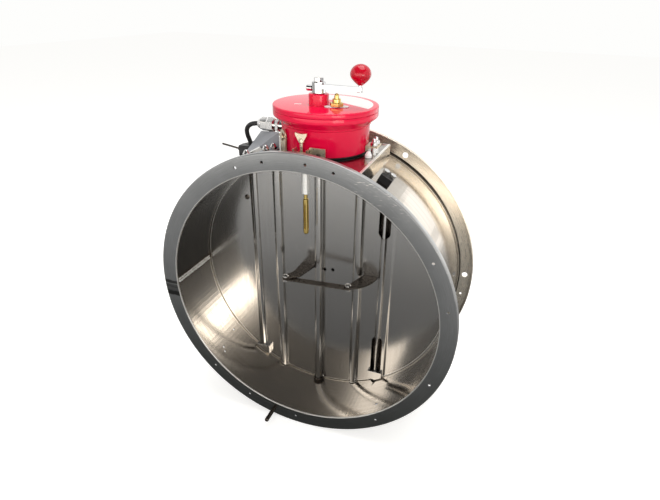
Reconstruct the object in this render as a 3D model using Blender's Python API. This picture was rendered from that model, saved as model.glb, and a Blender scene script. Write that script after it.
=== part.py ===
# Round butterfly volume damper with a top-mounted spring drum, as a parametric Blender model.
#
# Frame: the blade shaft runs up the Z axis, the duct's centre line is the Y axis, and the origin
# is where they cross. Air comes in at -Y, and the blade is modelled closed, across the duct.
# Everything is in metres.

import math

import bmesh
import bpy
from mathutils import Matrix, Vector

# Duct and flanges. The duct is as long as the drum on top of it needs.
DUCT_DIAMETER = 0.500
DUCT_SHEET = 0.002
DUCT_AHEAD_OF_DRUM = 0.0445
DUCT_BEHIND_DRUM = 0.0265
FLANGE_WIDTH = 0.030
FLANGE_SHEET = 0.0025
FLANGE_LIP = 0.010
FLANGE_NECK = 0.012
FLANGE_ROUNDING = 0.0015
RIM_SEGMENTS = 56
RIVET_HOLE_DIAMETER = 0.005
RIVET_HOLE_ANGLES = (-23, -12, 4, 14, 59, 78, 112, 144, 182, 205, 225)
BOLT_HOLE_DIAMETER = 0.011
BOLT_HOLE_COUNT = 6
BOLT_HOLE_FIRST = 28.4
BACK_RIVET_HOLE_ANGLE = 98
STUD_DIAMETER = 0.008
STUD_HEAD_STEP = 0.0015
STUD_HEAD_THICKNESS = 0.003
STUD_CHAMFER = 0.001
STUD_ANGLE = -168
STUD_REACH = 0.040

# Gaps between neighbouring pieces and round the blade, and how far a cutting tool overshoots
FIT = 0.0003
BLADE_GAP = 0.0016
OVERSHOOT = 0.010
MERGE_DISTANCE = 1e-6

# Shaft and its bushes
SHAFT_DIAMETER = 0.015
BUSH_WALL = 0.0022
BUSH_INSIDE_REACH = 0.007
CAP_RADIUS = 0.015
COLLAR_RADIUS = 0.0135
CAP_DEPTH = 0.0072
CAP_FLOOR = 0.003

# Blade. The stand-off is the air between the shaft and the blade's sheet.
BLADE_STAND_OFF = 0.0008
BLADE_SHEET = 0.002
PRESSING_SHIFT = -0.0045
BEAD_OFFSET = 0.080
BEAD_RADIUS = 0.0095
BEAD_SINK = 0.0005
ROD_OFFSET = 0.127
ROD_DIAMETER = 0.007
ROD_SINK = 0.0004
ROD_END_GAP = 0.004
JOGGLE_BEYOND_ROD = 0.0095
JOGGLE_DEPTH = 0.002
SLOT_WIDTH = 0.022
SLOT_INNER_Z = 0.109
SEAL_WIDTH = 0.012
SEAL_THICKNESS = 0.0015
PAN_DEPTH = 0.010
PAN_MARGIN = 0.0164
PAN_SHEET = 0.0012
NOTCH_CLEARANCE = 0.003
NOTCH_DEPTH_BEYOND_BUSH = 0.007
CLIP_WIDTH = 0.030
CLIP_HEIGHT = 0.010
CLIP_WALL = 0.003

# Bow of straps across the front of the blade
STRAP_THICKNESS = 0.0025
STRAP_WIDTH = 0.0145
STRAP_Z = 0.0245
ARM_ROOT_OUTER_X = -0.0396
ARM_FROM_SHAFT = 0.0025
ARM_END_RADIUS = 0.006
ARM_HOLLOW_RADIUS = 0.030
ARM_HOLLOW_Y = -0.020
ARM_HEEL = (-0.0215, -0.040)
LUG_FROM_BEAD = 0.0025
LUG_FROM_ROD = 0.0012
LUG_BEND_RADIUS = 0.0725
LUG_BEND_RISE = 0.055
LEFT_JOINT = (-0.0456, -0.0511)
RIGHT_JOINT = (0.0732, -0.0404)
STRAP_BOLT_DIAMETER = 0.006
STRAP_HEAD_STEP = 0.0027

# Saddle box that carries the drum, as wide as the drum and a margin
BOX_SIDE_MARGIN = 0.0225
BOX_CLEARANCE = 0.0005
BOX_BACK_MARGIN = 0.030
BOX_RISE = 0.006
BOX_SHEET = 0.0025
BOX_SHAFT_CLEARANCE = 0.003

# Spring drum
DRUM_CENTRE = (0.006, 0.017)
DRUM_RADIUS = 0.0745
DRUM_WALL = 0.004
DRUM_FLOOR = 0.006
DRUM_EDGE = 0.0015
DRUM_SEGMENTS = 40
RIM_OVERHANG = 0.0135
RIM_THINNING = 0.0005
RIM_CHAMFER = 0.002
RIM_HEIGHT = 0.0165
STEP_BELOW_TOP = 0.030
STEP_LIP = 0.002
DRUM_HEIGHT = 0.0720
DRUM_SHAFT_CLEARANCE = 0.002
LID_RIM = 0.008
LID_PLATE = 0.0035
LID_EDGE = 0.001
LID_BOSS_RADIUS = 0.0165
LID_BOSS_HEIGHT = 0.018
LID_BOSS_EDGE = 0.0015
GASKET_HEIGHT = 0.0034
GASKET_WIDTH = 0.010
GASKET_INSET = 0.004

# Works inside the drum
ARBOR_RADIUS = 0.014
ARBOR_HEIGHT = 0.026
CAM_RADIUS = 0.023
CAM_CLEARANCE = 0.0005
CAM_THICKNESS = 0.005
CAM_NOTCH_WIDTH = 0.008
CAM_NOTCH_DEPTH = 0.005
SPRING_BAND = 0.0012
SPRING_HEIGHT = 0.020
SPRING_LIFT = 0.003
SPRING_TURNS = 4
SPRING_PITCH = 0.0068
POST_RADIUS = 0.003
POST_ABOVE_SPRING = 0.002

# Crank handle
HUB_RADIUS = 0.011
HUB_HEIGHT = 0.018
HUB_EDGE = 0.001
CRANK_LENGTH = 0.0695
CRANK_ARM_WIDTH = 0.011
CRANK_ARM_THICKNESS = 0.006
CRANK_ARM_LIFT = 0.008
SET_SCREW_RADIUS = 0.0022
SET_SCREW_HEAD_RADIUS = 0.0048
SET_SCREW_HEAD_LENGTH = 0.010
SET_SCREW_LIFT = 0.007
CRANK_NUT_HEX = 0.014
CRANK_NUT_HEIGHT = 0.0055
THREAD_ABOVE_HUB = 0.0065
KNOB_DIAMETER = 0.033
KNOB_HEIGHT = 0.034
KNOB_WIDEST_AT = 0.58
KNOB_STUD_RADIUS = 0.003
KNOB_STUD_HEAD_RADIUS = 0.005
KNOB_STUD_HEAD = 0.0015
KNOB_STUD_REACH = 0.0153
TOP_THREAD_RADIUS = 0.004

# Hand release on the lid
RELEASE_PLATE_TUCK = 0.0035
RELEASE_Y = -0.006
RELEASE_PLATE_LENGTH = 0.040
RELEASE_PLATE_WIDTH = 0.014
RELEASE_PLATE_THICKNESS = 0.001
RELEASE_PLATE_ANGLE = 25
RELEASE_HEX = 0.020
RELEASE_HEX_HEIGHT = 0.0055
RELEASE_COLLAR_HEIGHT = 0.012
RELEASE_COLLAR_WALL = 0.0030
RELEASE_SLEEVE_WALL = 0.0019
RELEASE_PIN_RADIUS = 0.0038
RELEASE_PIN_REACH = 0.0215
RELEASE_PIN_INSIDE = 0.006

# Fusible link in the air stream
LINK_X = -0.012
LINK_FROM_DRUM_FRONT = 0.027
LINK_HOLDER_RADIUS = 0.0065
LINK_HOLDER_EDGE = 0.001
LINK_HOLDER_REACH = 0.0615
LINK_COLLAR_STEP = 0.0025
LINK_COLLAR_HEIGHT = 0.0022
LINK_RADIUS = 0.005
LINK_LENGTH = 0.076
LINK_NECK_LENGTH = 0.008
LINK_SLOT_WIDTH = 0.0032
LINK_SLOT_FROM_BOTTOM = 0.010
LINK_SLOT_FROM_TOP = 0.018

# Quick clamp, brackets and ears around the drum
BRACKET_SHEET = 0.0025
CLAMP_X = -0.0015
CLAMP_FROM_DRUM = 0.0115
CLAMP_RISE = 0.0105
CLAMP_LUG_DEPTH = 0.0135
CLAMP_LUG_BACK = 0.0065
CLAMP_LUG_RISE = 0.010
CLAMP_TOE = 0.006
CLAMP_PLATE_REACH = 0.0277
CLAMP_BOLT_REACH = 0.0167
CLAMP_BOLT_RADIUS = 0.0022
CLAMP_BOLT_HEAD_RADIUS = 0.0042
CLAMP_BOLT_HEAD = 0.0037
BARREL_RADIUS = 0.005
BARREL_LENGTH = 0.020
TRUNNION_RADIUS = 0.0025
TRUNNION_LENGTH = 0.0035
WING_STEM_RADIUS = 0.0023
WING_COLLAR_RADIUS = 0.0044
WING_FLOOR_GAP = 0.0012
WING_BELOW_STEP = 0.0005
WING_HEIGHT = 0.0145
WING_SPAN = 0.0195
WING_HOLLOW = 0.0015
WING_EDGE = 0.003
WING_THICKNESS = 0.0038
WING_ROOT_WIDTH = 0.006
SIDE_BRACKET_ANGLE = -41
SIDE_BRACKET_WIDTH = 0.019
SIDE_BRACKET_BELOW_STEP = 0.005
SIDE_BRACKET_FOOT = 0.014
SIDE_SLOT_WIDTH = 0.006
SIDE_SLOT_LENGTH = 0.014
SIDE_SLOT_FROM_TOP = 0.0124
SIDE_BOLT_RADIUS = 0.0025
SIDE_BOLT_HEAD_RADIUS = 0.005
SIDE_BOLT_HEAD = 0.0032
EAR_REACH = 0.0205
EAR_WIDTH = 0.026
EAR_RISE = 0.0135
EAR_BOLT_FROM_TIP = 0.0075
EAR_BOLT_SPACING = 0.014
EAR_BOLT_RADIUS = 0.003
EAR_SPACER_RADIUS = 0.0045
EAR_NUT_RADIUS = 0.0062
EAR_NUT_HEIGHT = 0.006
EAR_THREAD_HEIGHT = 0.0113
DOME_NUT_RADIUS = 0.006
DOME_NUT_HEIGHT = 0.0104
LEFT_NUT_INSET = (0.008, 0.0115)
RIGHT_NUT_INSET = 0.013
RIGHT_NUT_FROM_CENTRE = 0.023

# Cable gland, cable, wiring cover and end switch on the left
GLAND_FROM_CENTRE = 0.005
GLAND_RISE = 0.028
GLAND_THREAD_RADIUS = 0.008
GLAND_THREAD_INSIDE = 0.0065
GLAND_HEX = 0.022
GLAND_HEX_FROM_DRUM = 0.0195
GLAND_HEX_LENGTH = 0.011
GLAND_RING_FROM_DRUM = 0.009
GLAND_RING_LENGTH = 0.005
GLAND_NUT_LENGTH = 0.019
GLAND_NUT_FLATS = 0.012
GLAND_DOME_RADIUS = 0.0098
GLAND_MOUTH_RADIUS = 0.0070
CABLE_DIAMETER = 0.008
CABLE_IN_GLAND = 0.030
CABLE_BEND = (
    (0.0080, 0.0000, 0.0010),
    (0.0170, 0.0015, 0.0035),
    (0.0255, 0.0045, 0.0095),
    (0.0305, 0.0085, 0.0176),
    (0.0315, 0.0125, 0.0270),
)
CABLE_ABOVE_SWITCH = (0.0130, 0.0060, 0.0030)
CABLE_BEND_END_Y = 0.0035
COVER_SHEET = 0.0015
COVER_FROM_CENTRE = 0.037
COVER_DEPTH = 0.0452
COVER_CORNER_INSET = 0.0045
COVER_CORNER_RISE = 0.0290
COVER_LEFT_REACH = 0.0434
COVER_LEFT_DROP = 0.0331
COVER_BACK_REACH = 0.0189
COVER_BACK_RISE = 0.0153
COVER_FOOT_WIDTH = 0.022
COVER_FOOT_DEPTH = 0.034
COVER_NUTS = ((0.0065, 0.0095), (0.0125, 0.0255))
SWITCH_SIZE = (0.028, 0.016, 0.020)
SWITCH_FROM_BOX = 0.055
SWITCH_FROM_CENTRE = 0.0165
SWITCH_DROP = 0.027
SWITCH_EDGE = 0.0012
SWITCH_LEAD_OFFSET = 0.008
SWITCH_HEAD_LENGTH = 0.003
SWITCH_HEAD_RADIUS = 0.0042
SWITCH_BRACKET_LEAF = 0.018
SWITCH_BRACKET_NECK = 0.020
SWITCH_BRACKET_ABOVE_DUCT = 0.0031
LEVER_RADIUS = 0.0018
LEVER_TIP_RADIUS = 0.0011
LEVER_LENGTH = 0.034
LEVER_RISE = 0.002
LEVER_TILT = 8.5

# Stop block on the duct, right of the box
STOP_FROM_BOX = 0.0077
STOP_SIZE = (0.022, 0.030, 0.013)
STOP_FROM_CENTRE = 0.023
STOP_BOLT_SPACING = 0.0128
STOP_BOLT_OFFSET = -0.003
STOP_BOLT_HEX = 0.010
STOP_BOLT_HEAD = 0.006
STOP_SHANK_RADIUS = 0.003

# Duct and flanges, from the sizes above
BORE_RADIUS = DUCT_DIAMETER / 2
DUCT_RADIUS = BORE_RADIUS + DUCT_SHEET
FLANGE_RADIUS = BORE_RADIUS + FLANGE_WIDTH
FRONT_FACE = DRUM_CENTRE[1] - DRUM_RADIUS - DUCT_AHEAD_OF_DRUM
BACK_FACE = DRUM_CENTRE[1] + DRUM_RADIUS + DUCT_BEHIND_DRUM
DUCT_LENGTH = BACK_FACE - FRONT_FACE
HOLE_CIRCLE = (BORE_RADIUS + FLANGE_RADIUS) / 2

# Shaft, bushes and blade, from the sizes above
SHAFT_RADIUS = SHAFT_DIAMETER / 2
SHAFT_BORE = SHAFT_RADIUS + FIT
BUSH_RADIUS = SHAFT_BORE + BUSH_WALL
SHAFT_BOTTOM = -DUCT_RADIUS - CAP_DEPTH
BLADE_RADIUS = BORE_RADIUS - BLADE_GAP
BLADE_FACE = SHAFT_RADIUS + BLADE_STAND_OFF
BLADE_BACK = BLADE_FACE + BLADE_SHEET
ROD_RADIUS = ROD_DIAMETER / 2
CHANNEL_RADIUS = ROD_RADIUS + FIT + BLADE_SHEET
LEFT_ROD_X = PRESSING_SHIFT - ROD_OFFSET
RIGHT_ROD_X = PRESSING_SHIFT + ROD_OFFSET
ROD_REACH = max(abs(LEFT_ROD_X), abs(RIGHT_ROD_X)) + ROD_RADIUS
ROD_END_Z = math.sqrt(BLADE_RADIUS ** 2 - ROD_REACH ** 2) - ROD_END_GAP
JOGGLE_OFFSET = ROD_REACH - ROD_RADIUS + JOGGLE_BEYOND_ROD
PAN_RADIUS = BLADE_RADIUS - PAN_MARGIN
NOTCH_RADIUS = BUSH_RADIUS + NOTCH_CLEARANCE
NOTCH_Z = BORE_RADIUS - BUSH_INSIDE_REACH - NOTCH_DEPTH_BEYOND_BUSH
ARM_ROOT = (ARM_ROOT_OUTER_X, -SHAFT_RADIUS - ARM_FROM_SHAFT)
LUG_ROOT = (PRESSING_SHIFT + BEAD_OFFSET + BEAD_RADIUS + LUG_FROM_BEAD,
            RIGHT_ROD_X - CHANNEL_RADIUS - LUG_FROM_ROD)

# Saddle box and drum, from the sizes above
BOX_HALF_WIDTH = DRUM_CENTRE[0] + DRUM_RADIUS + BOX_SIDE_MARGIN
BOX_FRONT = FRONT_FACE + FLANGE_NECK + BOX_CLEARANCE
BOX_BACK = BACK_FACE - BOX_BACK_MARGIN
BOX_TOP = DUCT_RADIUS + BOX_RISE
BOX_UNDER = BOX_TOP - BOX_SHEET
BOX_SEAT = BOX_TOP + FIT
GASKET_TOP = BOX_SEAT + GASKET_HEIGHT
DRUM_BOTTOM = GASKET_TOP + FIT
DRUM_TOP = DRUM_BOTTOM + DRUM_HEIGHT
FLOOR_TOP = DRUM_BOTTOM + DRUM_FLOOR
STEP_Z = DRUM_TOP - STEP_BELOW_TOP
RIM_RADIUS = DRUM_RADIUS + RIM_OVERHANG
RIM_BORE = RIM_RADIUS - DRUM_WALL + RIM_THINNING
LID_PARTING = DRUM_TOP - LID_RIM
LID_UNDER = DRUM_TOP - LID_PLATE
BOSS_TOP = DRUM_TOP + LID_BOSS_HEIGHT
DRUM_LEFT = DRUM_CENTRE[0] - DRUM_RADIUS
DRUM_FRONT = DRUM_CENTRE[1] - DRUM_RADIUS
LINK_PLACE = (LINK_X, DRUM_FRONT + LINK_FROM_DRUM_FRONT)
LINK_COLLAR_RADIUS = LINK_HOLDER_RADIUS + LINK_COLLAR_STEP
LINK_HOLDER_BOTTOM = BORE_RADIUS - LINK_HOLDER_REACH
LINK_BOTTOM = LINK_HOLDER_BOTTOM - LINK_LENGTH
LINK_COLLAR_TOP = FLOOR_TOP + FIT + LINK_COLLAR_HEIGHT

# Crank and hand release, from the sizes above
HUB_BOTTOM = BOSS_TOP + FIT
HUB_TOP = HUB_BOTTOM + HUB_HEIGHT
ARM_BOTTOM = HUB_BOTTOM + CRANK_ARM_LIFT
ARM_TOP = ARM_BOTTOM + CRANK_ARM_THICKNESS
RELEASE_PLACE = (LID_BOSS_RADIUS + RELEASE_PLATE_LENGTH / 2 - RELEASE_PLATE_TUCK, RELEASE_Y)
RELEASE_SLEEVE_RADIUS = RELEASE_PIN_RADIUS + RELEASE_SLEEVE_WALL
RELEASE_HOLE_RADIUS = RELEASE_SLEEVE_RADIUS + FIT

# Clamp, gland, cover and switch, from the sizes above
CLAMP_PIVOT = (CLAMP_X, DRUM_FRONT - CLAMP_FROM_DRUM, BOX_TOP + CLAMP_RISE)
WING_TOP = STEP_Z - WING_BELOW_STEP
SIDE_BRACKET_TOP = STEP_Z - SIDE_BRACKET_BELOW_STEP
EAR_Z = BOX_TOP + EAR_RISE
GLAND_PLACE = (DRUM_CENTRE[1] - GLAND_FROM_CENTRE, DRUM_BOTTOM + GLAND_RISE)
COVER_FRONT = DRUM_CENTRE[1] - COVER_FROM_CENTRE
COVER_CORNER = (DRUM_LEFT + COVER_CORNER_INSET, COVER_FRONT, BOX_TOP + COVER_CORNER_RISE)
COVER_LEFT = (-BOX_HALF_WIDTH - COVER_LEFT_REACH, COVER_FRONT, BOX_TOP - COVER_LEFT_DROP)
COVER_BACK = (-BOX_HALF_WIDTH - COVER_BACK_REACH, COVER_FRONT + COVER_DEPTH, BOX_TOP + COVER_BACK_RISE)
SWITCH_PLACE = (-BOX_HALF_WIDTH - SWITCH_FROM_BOX, DRUM_CENTRE[1] + SWITCH_FROM_CENTRE,
                BOX_TOP - SWITCH_DROP)
SWITCH_LEAD_X = SWITCH_PLACE[0] + SWITCH_LEAD_OFFSET
SWITCH_HEAD_FACE = SWITCH_PLACE[0] - SWITCH_SIZE[0] / 2 - SWITCH_HEAD_LENGTH
LEVER_PIVOT = (SWITCH_HEAD_FACE - FIT - LEVER_RADIUS, SWITCH_PLACE[1], SWITCH_PLACE[2] + LEVER_RISE)


def clear_scene():
    for thing in list(bpy.data.objects):
        bpy.data.objects.remove(thing, do_unlink=True)


def surface(name, colour, roughness, metallic):
    """A plain Principled finish, made once and shared by name."""
    made = bpy.data.materials.get(name)
    if made:
        return made
    made = bpy.data.materials.new(name)
    made.use_nodes = True
    shader = made.node_tree.nodes["Principled BSDF"]
    shader.inputs["Base Color"].default_value = (*colour, 1.0)
    shader.inputs["Roughness"].default_value = roughness
    shader.inputs["Metallic"].default_value = metallic
    made.diffuse_color = (*colour, 1.0)
    return made


def stainless():
    return surface("brushed_stainless", (0.56, 0.55, 0.53), 0.34, 1.0)


def dark_stainless():
    return surface("dark_stainless", (0.24, 0.22, 0.21), 0.30, 1.0)


def flange_steel():
    return surface("flange_steel", (0.36, 0.37, 0.38), 0.48, 0.9)


def polished_steel():
    return surface("polished_steel", (0.72, 0.71, 0.69), 0.16, 1.0)


def red_enamel():
    return surface("red_enamel", (0.78, 0.01, 0.05), 0.22, 0.0)


def chrome():
    return surface("chrome", (0.80, 0.80, 0.81), 0.10, 1.0)


def brass():
    return surface("brass", (0.78, 0.60, 0.26), 0.26, 1.0)


def yellow_zinc():
    return surface("yellow_zinc", (0.66, 0.56, 0.40), 0.38, 0.9)


def black_rubber():
    return surface("black_rubber", (0.015, 0.015, 0.016), 0.55, 0.0)


def black_plastic():
    return surface("black_plastic", (0.02, 0.02, 0.022), 0.45, 0.0)


def grey_paint():
    return surface("grey_paint", (0.48, 0.49, 0.52), 0.45, 0.0)


def spring_steel():
    return surface("spring_steel", (0.30, 0.31, 0.34), 0.35, 1.0)


def world_place(thing):
    """Where an unturned empty lies in the world, through its parents."""
    place = Vector(thing.location)
    while thing.parent:
        thing = thing.parent
        place = place + thing.location
    return place


def axis_empty(name, at, parent=None):
    """An empty on a joint's axis, which the moving pieces hang from."""
    empty = bpy.data.objects.new(name, None)
    bpy.context.collection.objects.link(empty)
    empty.empty_display_size = 0.03
    empty.location = Vector(at) - (world_place(parent) if parent else Vector())
    empty.parent = parent
    return empty


def piece(name, bm, finish, parent=None, at=(0, 0, 0), turn=None):
    """Make an object from a bmesh, shade it and put it in its place."""
    bmesh.ops.remove_doubles(bm, verts=bm.verts[:], dist=MERGE_DISTANCE)
    bmesh.ops.recalc_face_normals(bm, faces=bm.faces[:])
    mesh = bpy.data.meshes.new(name)
    bm.to_mesh(mesh)
    bm.free()
    mesh.materials.append(finish)
    mesh.shade_smooth()
    mesh.set_sharp_from_angle(angle=math.radians(35))
    made = bpy.data.objects.new(name, mesh)
    bpy.context.collection.objects.link(made)
    made.location = Vector(at) - (world_place(parent) if parent else Vector())
    if turn is not None:
        made.rotation_euler = turn.to_euler()
    made.parent = parent
    return made


def operand(made):
    """Mark an object as a tool for a Boolean: drawn as wires and never rendered."""
    made.display_type = "WIRE"
    made.hide_render = True
    return made


def combine(target, tools, operation):
    for tool in tools:
        operand(tool)
        step = target.modifiers.new(operation.lower(), "BOOLEAN")
        step.operation = operation
        step.object = tool
    return target


def cut(target, *tools):
    return combine(target, tools, "DIFFERENCE")


def weld(target, *tools):
    return combine(target, tools, "UNION")


def along_y():
    """Turns a shape made up the Z axis so that it runs along +Y."""
    return Matrix.Rotation(math.radians(-90), 3, "X")


def along_minus_y():
    return Matrix.Rotation(math.radians(90), 3, "X")


def along_x():
    return Matrix.Rotation(math.radians(90), 3, "Y")


def turned_mesh(section, segments):
    """Turn a closed (radius, height) section about the Z axis."""
    bm = bmesh.new()
    verts = [bm.verts.new((radius, 0, height)) for radius, height in section]
    for here, there in zip(verts, verts[1:] + verts[:1]):
        if here.co.x > 0 or there.co.x > 0:
            bm.edges.new((here, there))
    bmesh.ops.spin(bm, geom=verts + bm.edges[:], cent=(0, 0, 0), axis=(0, 0, 1),
                   angle=math.tau, steps=segments)
    bmesh.ops.remove_doubles(bm, verts=bm.verts[:], dist=MERGE_DISTANCE)
    bmesh.ops.dissolve_degenerate(bm, edges=bm.edges[:], dist=MERGE_DISTANCE)
    return bm


def turned(name, section, segments, finish, parent=None, at=(0, 0, 0), turn=None):
    return piece(name, turned_mesh(section, segments), finish, parent, at, turn)


def prism_mesh(outline, low, high):
    """Extrude a flat (x, y) outline from z = low to z = high."""
    bm = bmesh.new()
    face = bm.faces.new([bm.verts.new((x, y, low)) for x, y in outline])
    made = bmesh.ops.extrude_face_region(bm, geom=[face])["geom"]
    top = [part for part in made if isinstance(part, bmesh.types.BMVert)]
    bmesh.ops.translate(bm, verts=top, vec=(0, 0, high - low))
    return bm


def prism(name, outline, low, high, finish, parent=None, at=(0, 0, 0), turn=None):
    return piece(name, prism_mesh(outline, low, high), finish, parent, at, turn)


def block(name, low, high, finish, parent=None):
    """A plain box between two corners, as stock for a folded or cut piece."""
    bm = bmesh.new()
    size = [top - bottom for bottom, top in zip(low, high)]
    bmesh.ops.create_cube(bm, size=1.0, matrix=Matrix.Diagonal((*size, 1.0)))
    middle = [(top + bottom) / 2 for bottom, top in zip(low, high)]
    return piece(name, bm, finish, parent, middle)


def rod(name, radius, low, high, finish, segments=16, parent=None, at=(0, 0, 0), turn=None):
    section = [(0, low), (radius, low), (radius, high), (0, high)]
    return turned(name, section, segments, finish, parent, at, turn)


def arc(centre, radius, start, end, steps):
    """Points on an arc, angles in degrees from +X, both ends included."""
    points = []
    for step in range(steps + 1):
        angle = math.radians(start + (end - start) * step / steps)
        points.append((centre[0] + radius * math.cos(angle), centre[1] + radius * math.sin(angle)))
    return points


def hexagon(across_flats):
    return arc((0, 0), across_flats / math.sqrt(3), 0, 300, 5)


def slot_outline(width, length):
    """A slot with round ends, centred, its length along Y."""
    half = length / 2 - width / 2
    upper = arc((0, half), width / 2, 0, 180, 8)
    lower = arc((0, -half), width / 2, 180, 360, 8)
    return upper + lower


def around(angle, radius):
    """A place on the duct's flange circle: degrees clockwise from the top, seen from the front."""
    return radius * math.sin(math.radians(angle)), radius * math.cos(math.radians(angle))


def build_duct():
    ends = (FRONT_FACE + FLANGE_SHEET + FIT, BACK_FACE - FLANGE_SHEET - FIT)
    section = [(BORE_RADIUS, ends[0]), (DUCT_RADIUS, ends[0]),
               (DUCT_RADIUS, ends[1]), (BORE_RADIUS, ends[1])]
    shell = turned("duct_shell", section, RIM_SEGMENTS, stainless(), turn=along_y())
    low = BORE_RADIUS - OVERSHOOT
    high = DUCT_RADIUS + OVERSHOOT
    top = rod("upper_bush_hole", BUSH_RADIUS + FIT, low, high, stainless(), 24)
    bottom = rod("lower_bush_hole", BUSH_RADIUS + FIT, -high, -low, stainless(), 24)
    link = rod("link_hole", LINK_HOLDER_RADIUS + FIT, low, high, stainless(), 20,
               at=(*LINK_PLACE, 0))
    cut(shell, top, bottom, link)


def flange_section():
    """A pressed ring: rounded inner edge, flat face, return lip outside and a neck over the duct."""
    neck_inner = DUCT_RADIUS + FIT
    neck_outer = neck_inner + DUCT_SHEET
    lip_inner = FLANGE_RADIUS - DUCT_SHEET
    return [
        (BORE_RADIUS + FLANGE_ROUNDING, 0),
        (FLANGE_RADIUS - FLANGE_ROUNDING, 0),
        (FLANGE_RADIUS, FLANGE_ROUNDING),
        (FLANGE_RADIUS, FLANGE_LIP),
        (lip_inner, FLANGE_LIP),
        (lip_inner, FLANGE_SHEET),
        (neck_outer, FLANGE_SHEET),
        (neck_outer, FLANGE_NECK),
        (neck_inner, FLANGE_NECK),
        (neck_inner, FLANGE_SHEET),
        (BORE_RADIUS, FLANGE_SHEET),
        (BORE_RADIUS, FLANGE_ROUNDING),
    ]


def hole_row(name, places, radius, face, segments=12):
    """One tool that drills a flange at several places, along Y through its face."""
    bm = bmesh.new()
    for x, z in places:
        drill = turned_mesh([(0, -OVERSHOOT), (radius, -OVERSHOOT), (radius, OVERSHOOT),
                             (0, OVERSHOOT)], segments)
        drill.transform(Matrix.Translation((x, face, z)) @ along_y().to_4x4())
        mesh = bpy.data.meshes.new(name)
        drill.to_mesh(mesh)
        drill.free()
        bm.from_mesh(mesh)
        bpy.data.meshes.remove(mesh)
    return piece(name, bm, flange_steel())


def build_flanges():
    front = turned("front_flange", flange_section(), RIM_SEGMENTS, flange_steel(),
                   at=(0, FRONT_FACE, 0), turn=along_y())
    rivets = [around(angle, HOLE_CIRCLE) for angle in RIVET_HOLE_ANGLES]
    cut(front, hole_row("rivet_holes", rivets, RIVET_HOLE_DIAMETER / 2, FRONT_FACE, 10))

    back = turned("back_flange", flange_section(), RIM_SEGMENTS, flange_steel(),
                  at=(0, BACK_FACE, 0), turn=along_minus_y())
    step = 360 / BOLT_HOLE_COUNT
    bolts = [around(BOLT_HOLE_FIRST + step * number, HOLE_CIRCLE)
             for number in range(BOLT_HOLE_COUNT)]
    cut(back, hole_row("bolt_holes", bolts, BOLT_HOLE_DIAMETER / 2, BACK_FACE))
    rivet = around(BACK_RIVET_HOLE_ANGLE, HOLE_CIRCLE)
    cut(back, hole_row("back_rivet_hole", [rivet], RIVET_HOLE_DIAMETER / 2, BACK_FACE, 10))

    head_radius = STUD_DIAMETER / 2 + STUD_HEAD_STEP
    stud_circle = DUCT_RADIUS + DUCT_SHEET + head_radius + 3 * FIT
    x, z = around(STUD_ANGLE, stud_circle)
    cut(front, hole_row("stud_hole", [(x, z)], STUD_DIAMETER / 2 + FIT, FRONT_FACE))
    inner_face = FLANGE_SHEET + FIT
    section = [
        (0, -STUD_REACH),
        (STUD_DIAMETER / 2 - STUD_CHAMFER, -STUD_REACH),
        (STUD_DIAMETER / 2, -STUD_REACH + STUD_CHAMFER),
        (STUD_DIAMETER / 2, inner_face),
        (head_radius, inner_face),
        (head_radius, inner_face + STUD_HEAD_THICKNESS),
        (0, inner_face + STUD_HEAD_THICKNESS),
    ]
    turned("flange_stud", section, 14, dark_stainless(), at=(x, FRONT_FACE, z), turn=along_y())


def build_shaft(blade_axis):
    thread_top = HUB_TOP + THREAD_ABOVE_HUB
    section = [
        (0, SHAFT_BOTTOM + FIT),
        (SHAFT_RADIUS, SHAFT_BOTTOM + FIT),
        (SHAFT_RADIUS, HUB_TOP - FIT),
        (TOP_THREAD_RADIUS, HUB_TOP - FIT),
        (TOP_THREAD_RADIUS, thread_top),
        (0, thread_top),
    ]
    turned("damper_shaft", section, 24, stainless(), blade_axis)


def build_bushes():
    seat = DUCT_RADIUS + FIT
    inside = BORE_RADIUS - BUSH_INSIDE_REACH
    lower = [
        (0, SHAFT_BOTTOM - CAP_FLOOR),
        (CAP_RADIUS, SHAFT_BOTTOM - CAP_FLOOR),
        (CAP_RADIUS, -seat),
        (BUSH_RADIUS, -seat),
        (BUSH_RADIUS, -inside),
        (SHAFT_BORE, -inside),
        (SHAFT_BORE, SHAFT_BOTTOM),
        (0, SHAFT_BOTTOM),
    ]
    turned("lower_bush", lower, 24, dark_stainless())
    upper = [
        (SHAFT_BORE, inside),
        (BUSH_RADIUS, inside),
        (BUSH_RADIUS, seat),
        (COLLAR_RADIUS, seat),
        (COLLAR_RADIUS, BOX_UNDER - FIT),
        (SHAFT_BORE, BOX_UNDER - FIT),
    ]
    turned("upper_bush", upper, 24, dark_stainless())


def blade_line():
    """The blade's front surface seen from above, from -X to +X, with its pressed beads."""
    pressed = []
    for side in (-1, 1):
        pressed.append((PRESSING_SHIFT + side * BEAD_OFFSET, BEAD_RADIUS, BEAD_SINK))
        pressed.append((PRESSING_SHIFT + side * ROD_OFFSET, CHANNEL_RADIUS, ROD_SINK))
    pressed.sort()
    wing = BLADE_FACE + JOGGLE_DEPTH
    line = [(-FLANGE_RADIUS, wing), (-JOGGLE_OFFSET - JOGGLE_DEPTH, wing)]
    line.append((-JOGGLE_OFFSET + JOGGLE_DEPTH, BLADE_FACE))
    for offset, radius, sink in pressed:
        angle = math.degrees(math.asin(sink / radius))
        line += arc((offset, BLADE_FACE + sink), radius, 180 + angle, 360 - angle, 8)
    line.append((JOGGLE_OFFSET - JOGGLE_DEPTH, BLADE_FACE))
    line += [(JOGGLE_OFFSET + JOGGLE_DEPTH, wing), (FLANGE_RADIUS, wing)]
    return line


def round_of_duct(name, radius):
    """A solid cylinder along the duct, for trimming sheet to the bore."""
    return rod(name, radius, -DUCT_LENGTH, DUCT_LENGTH, stainless(), RIM_SEGMENTS, turn=along_y())


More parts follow.
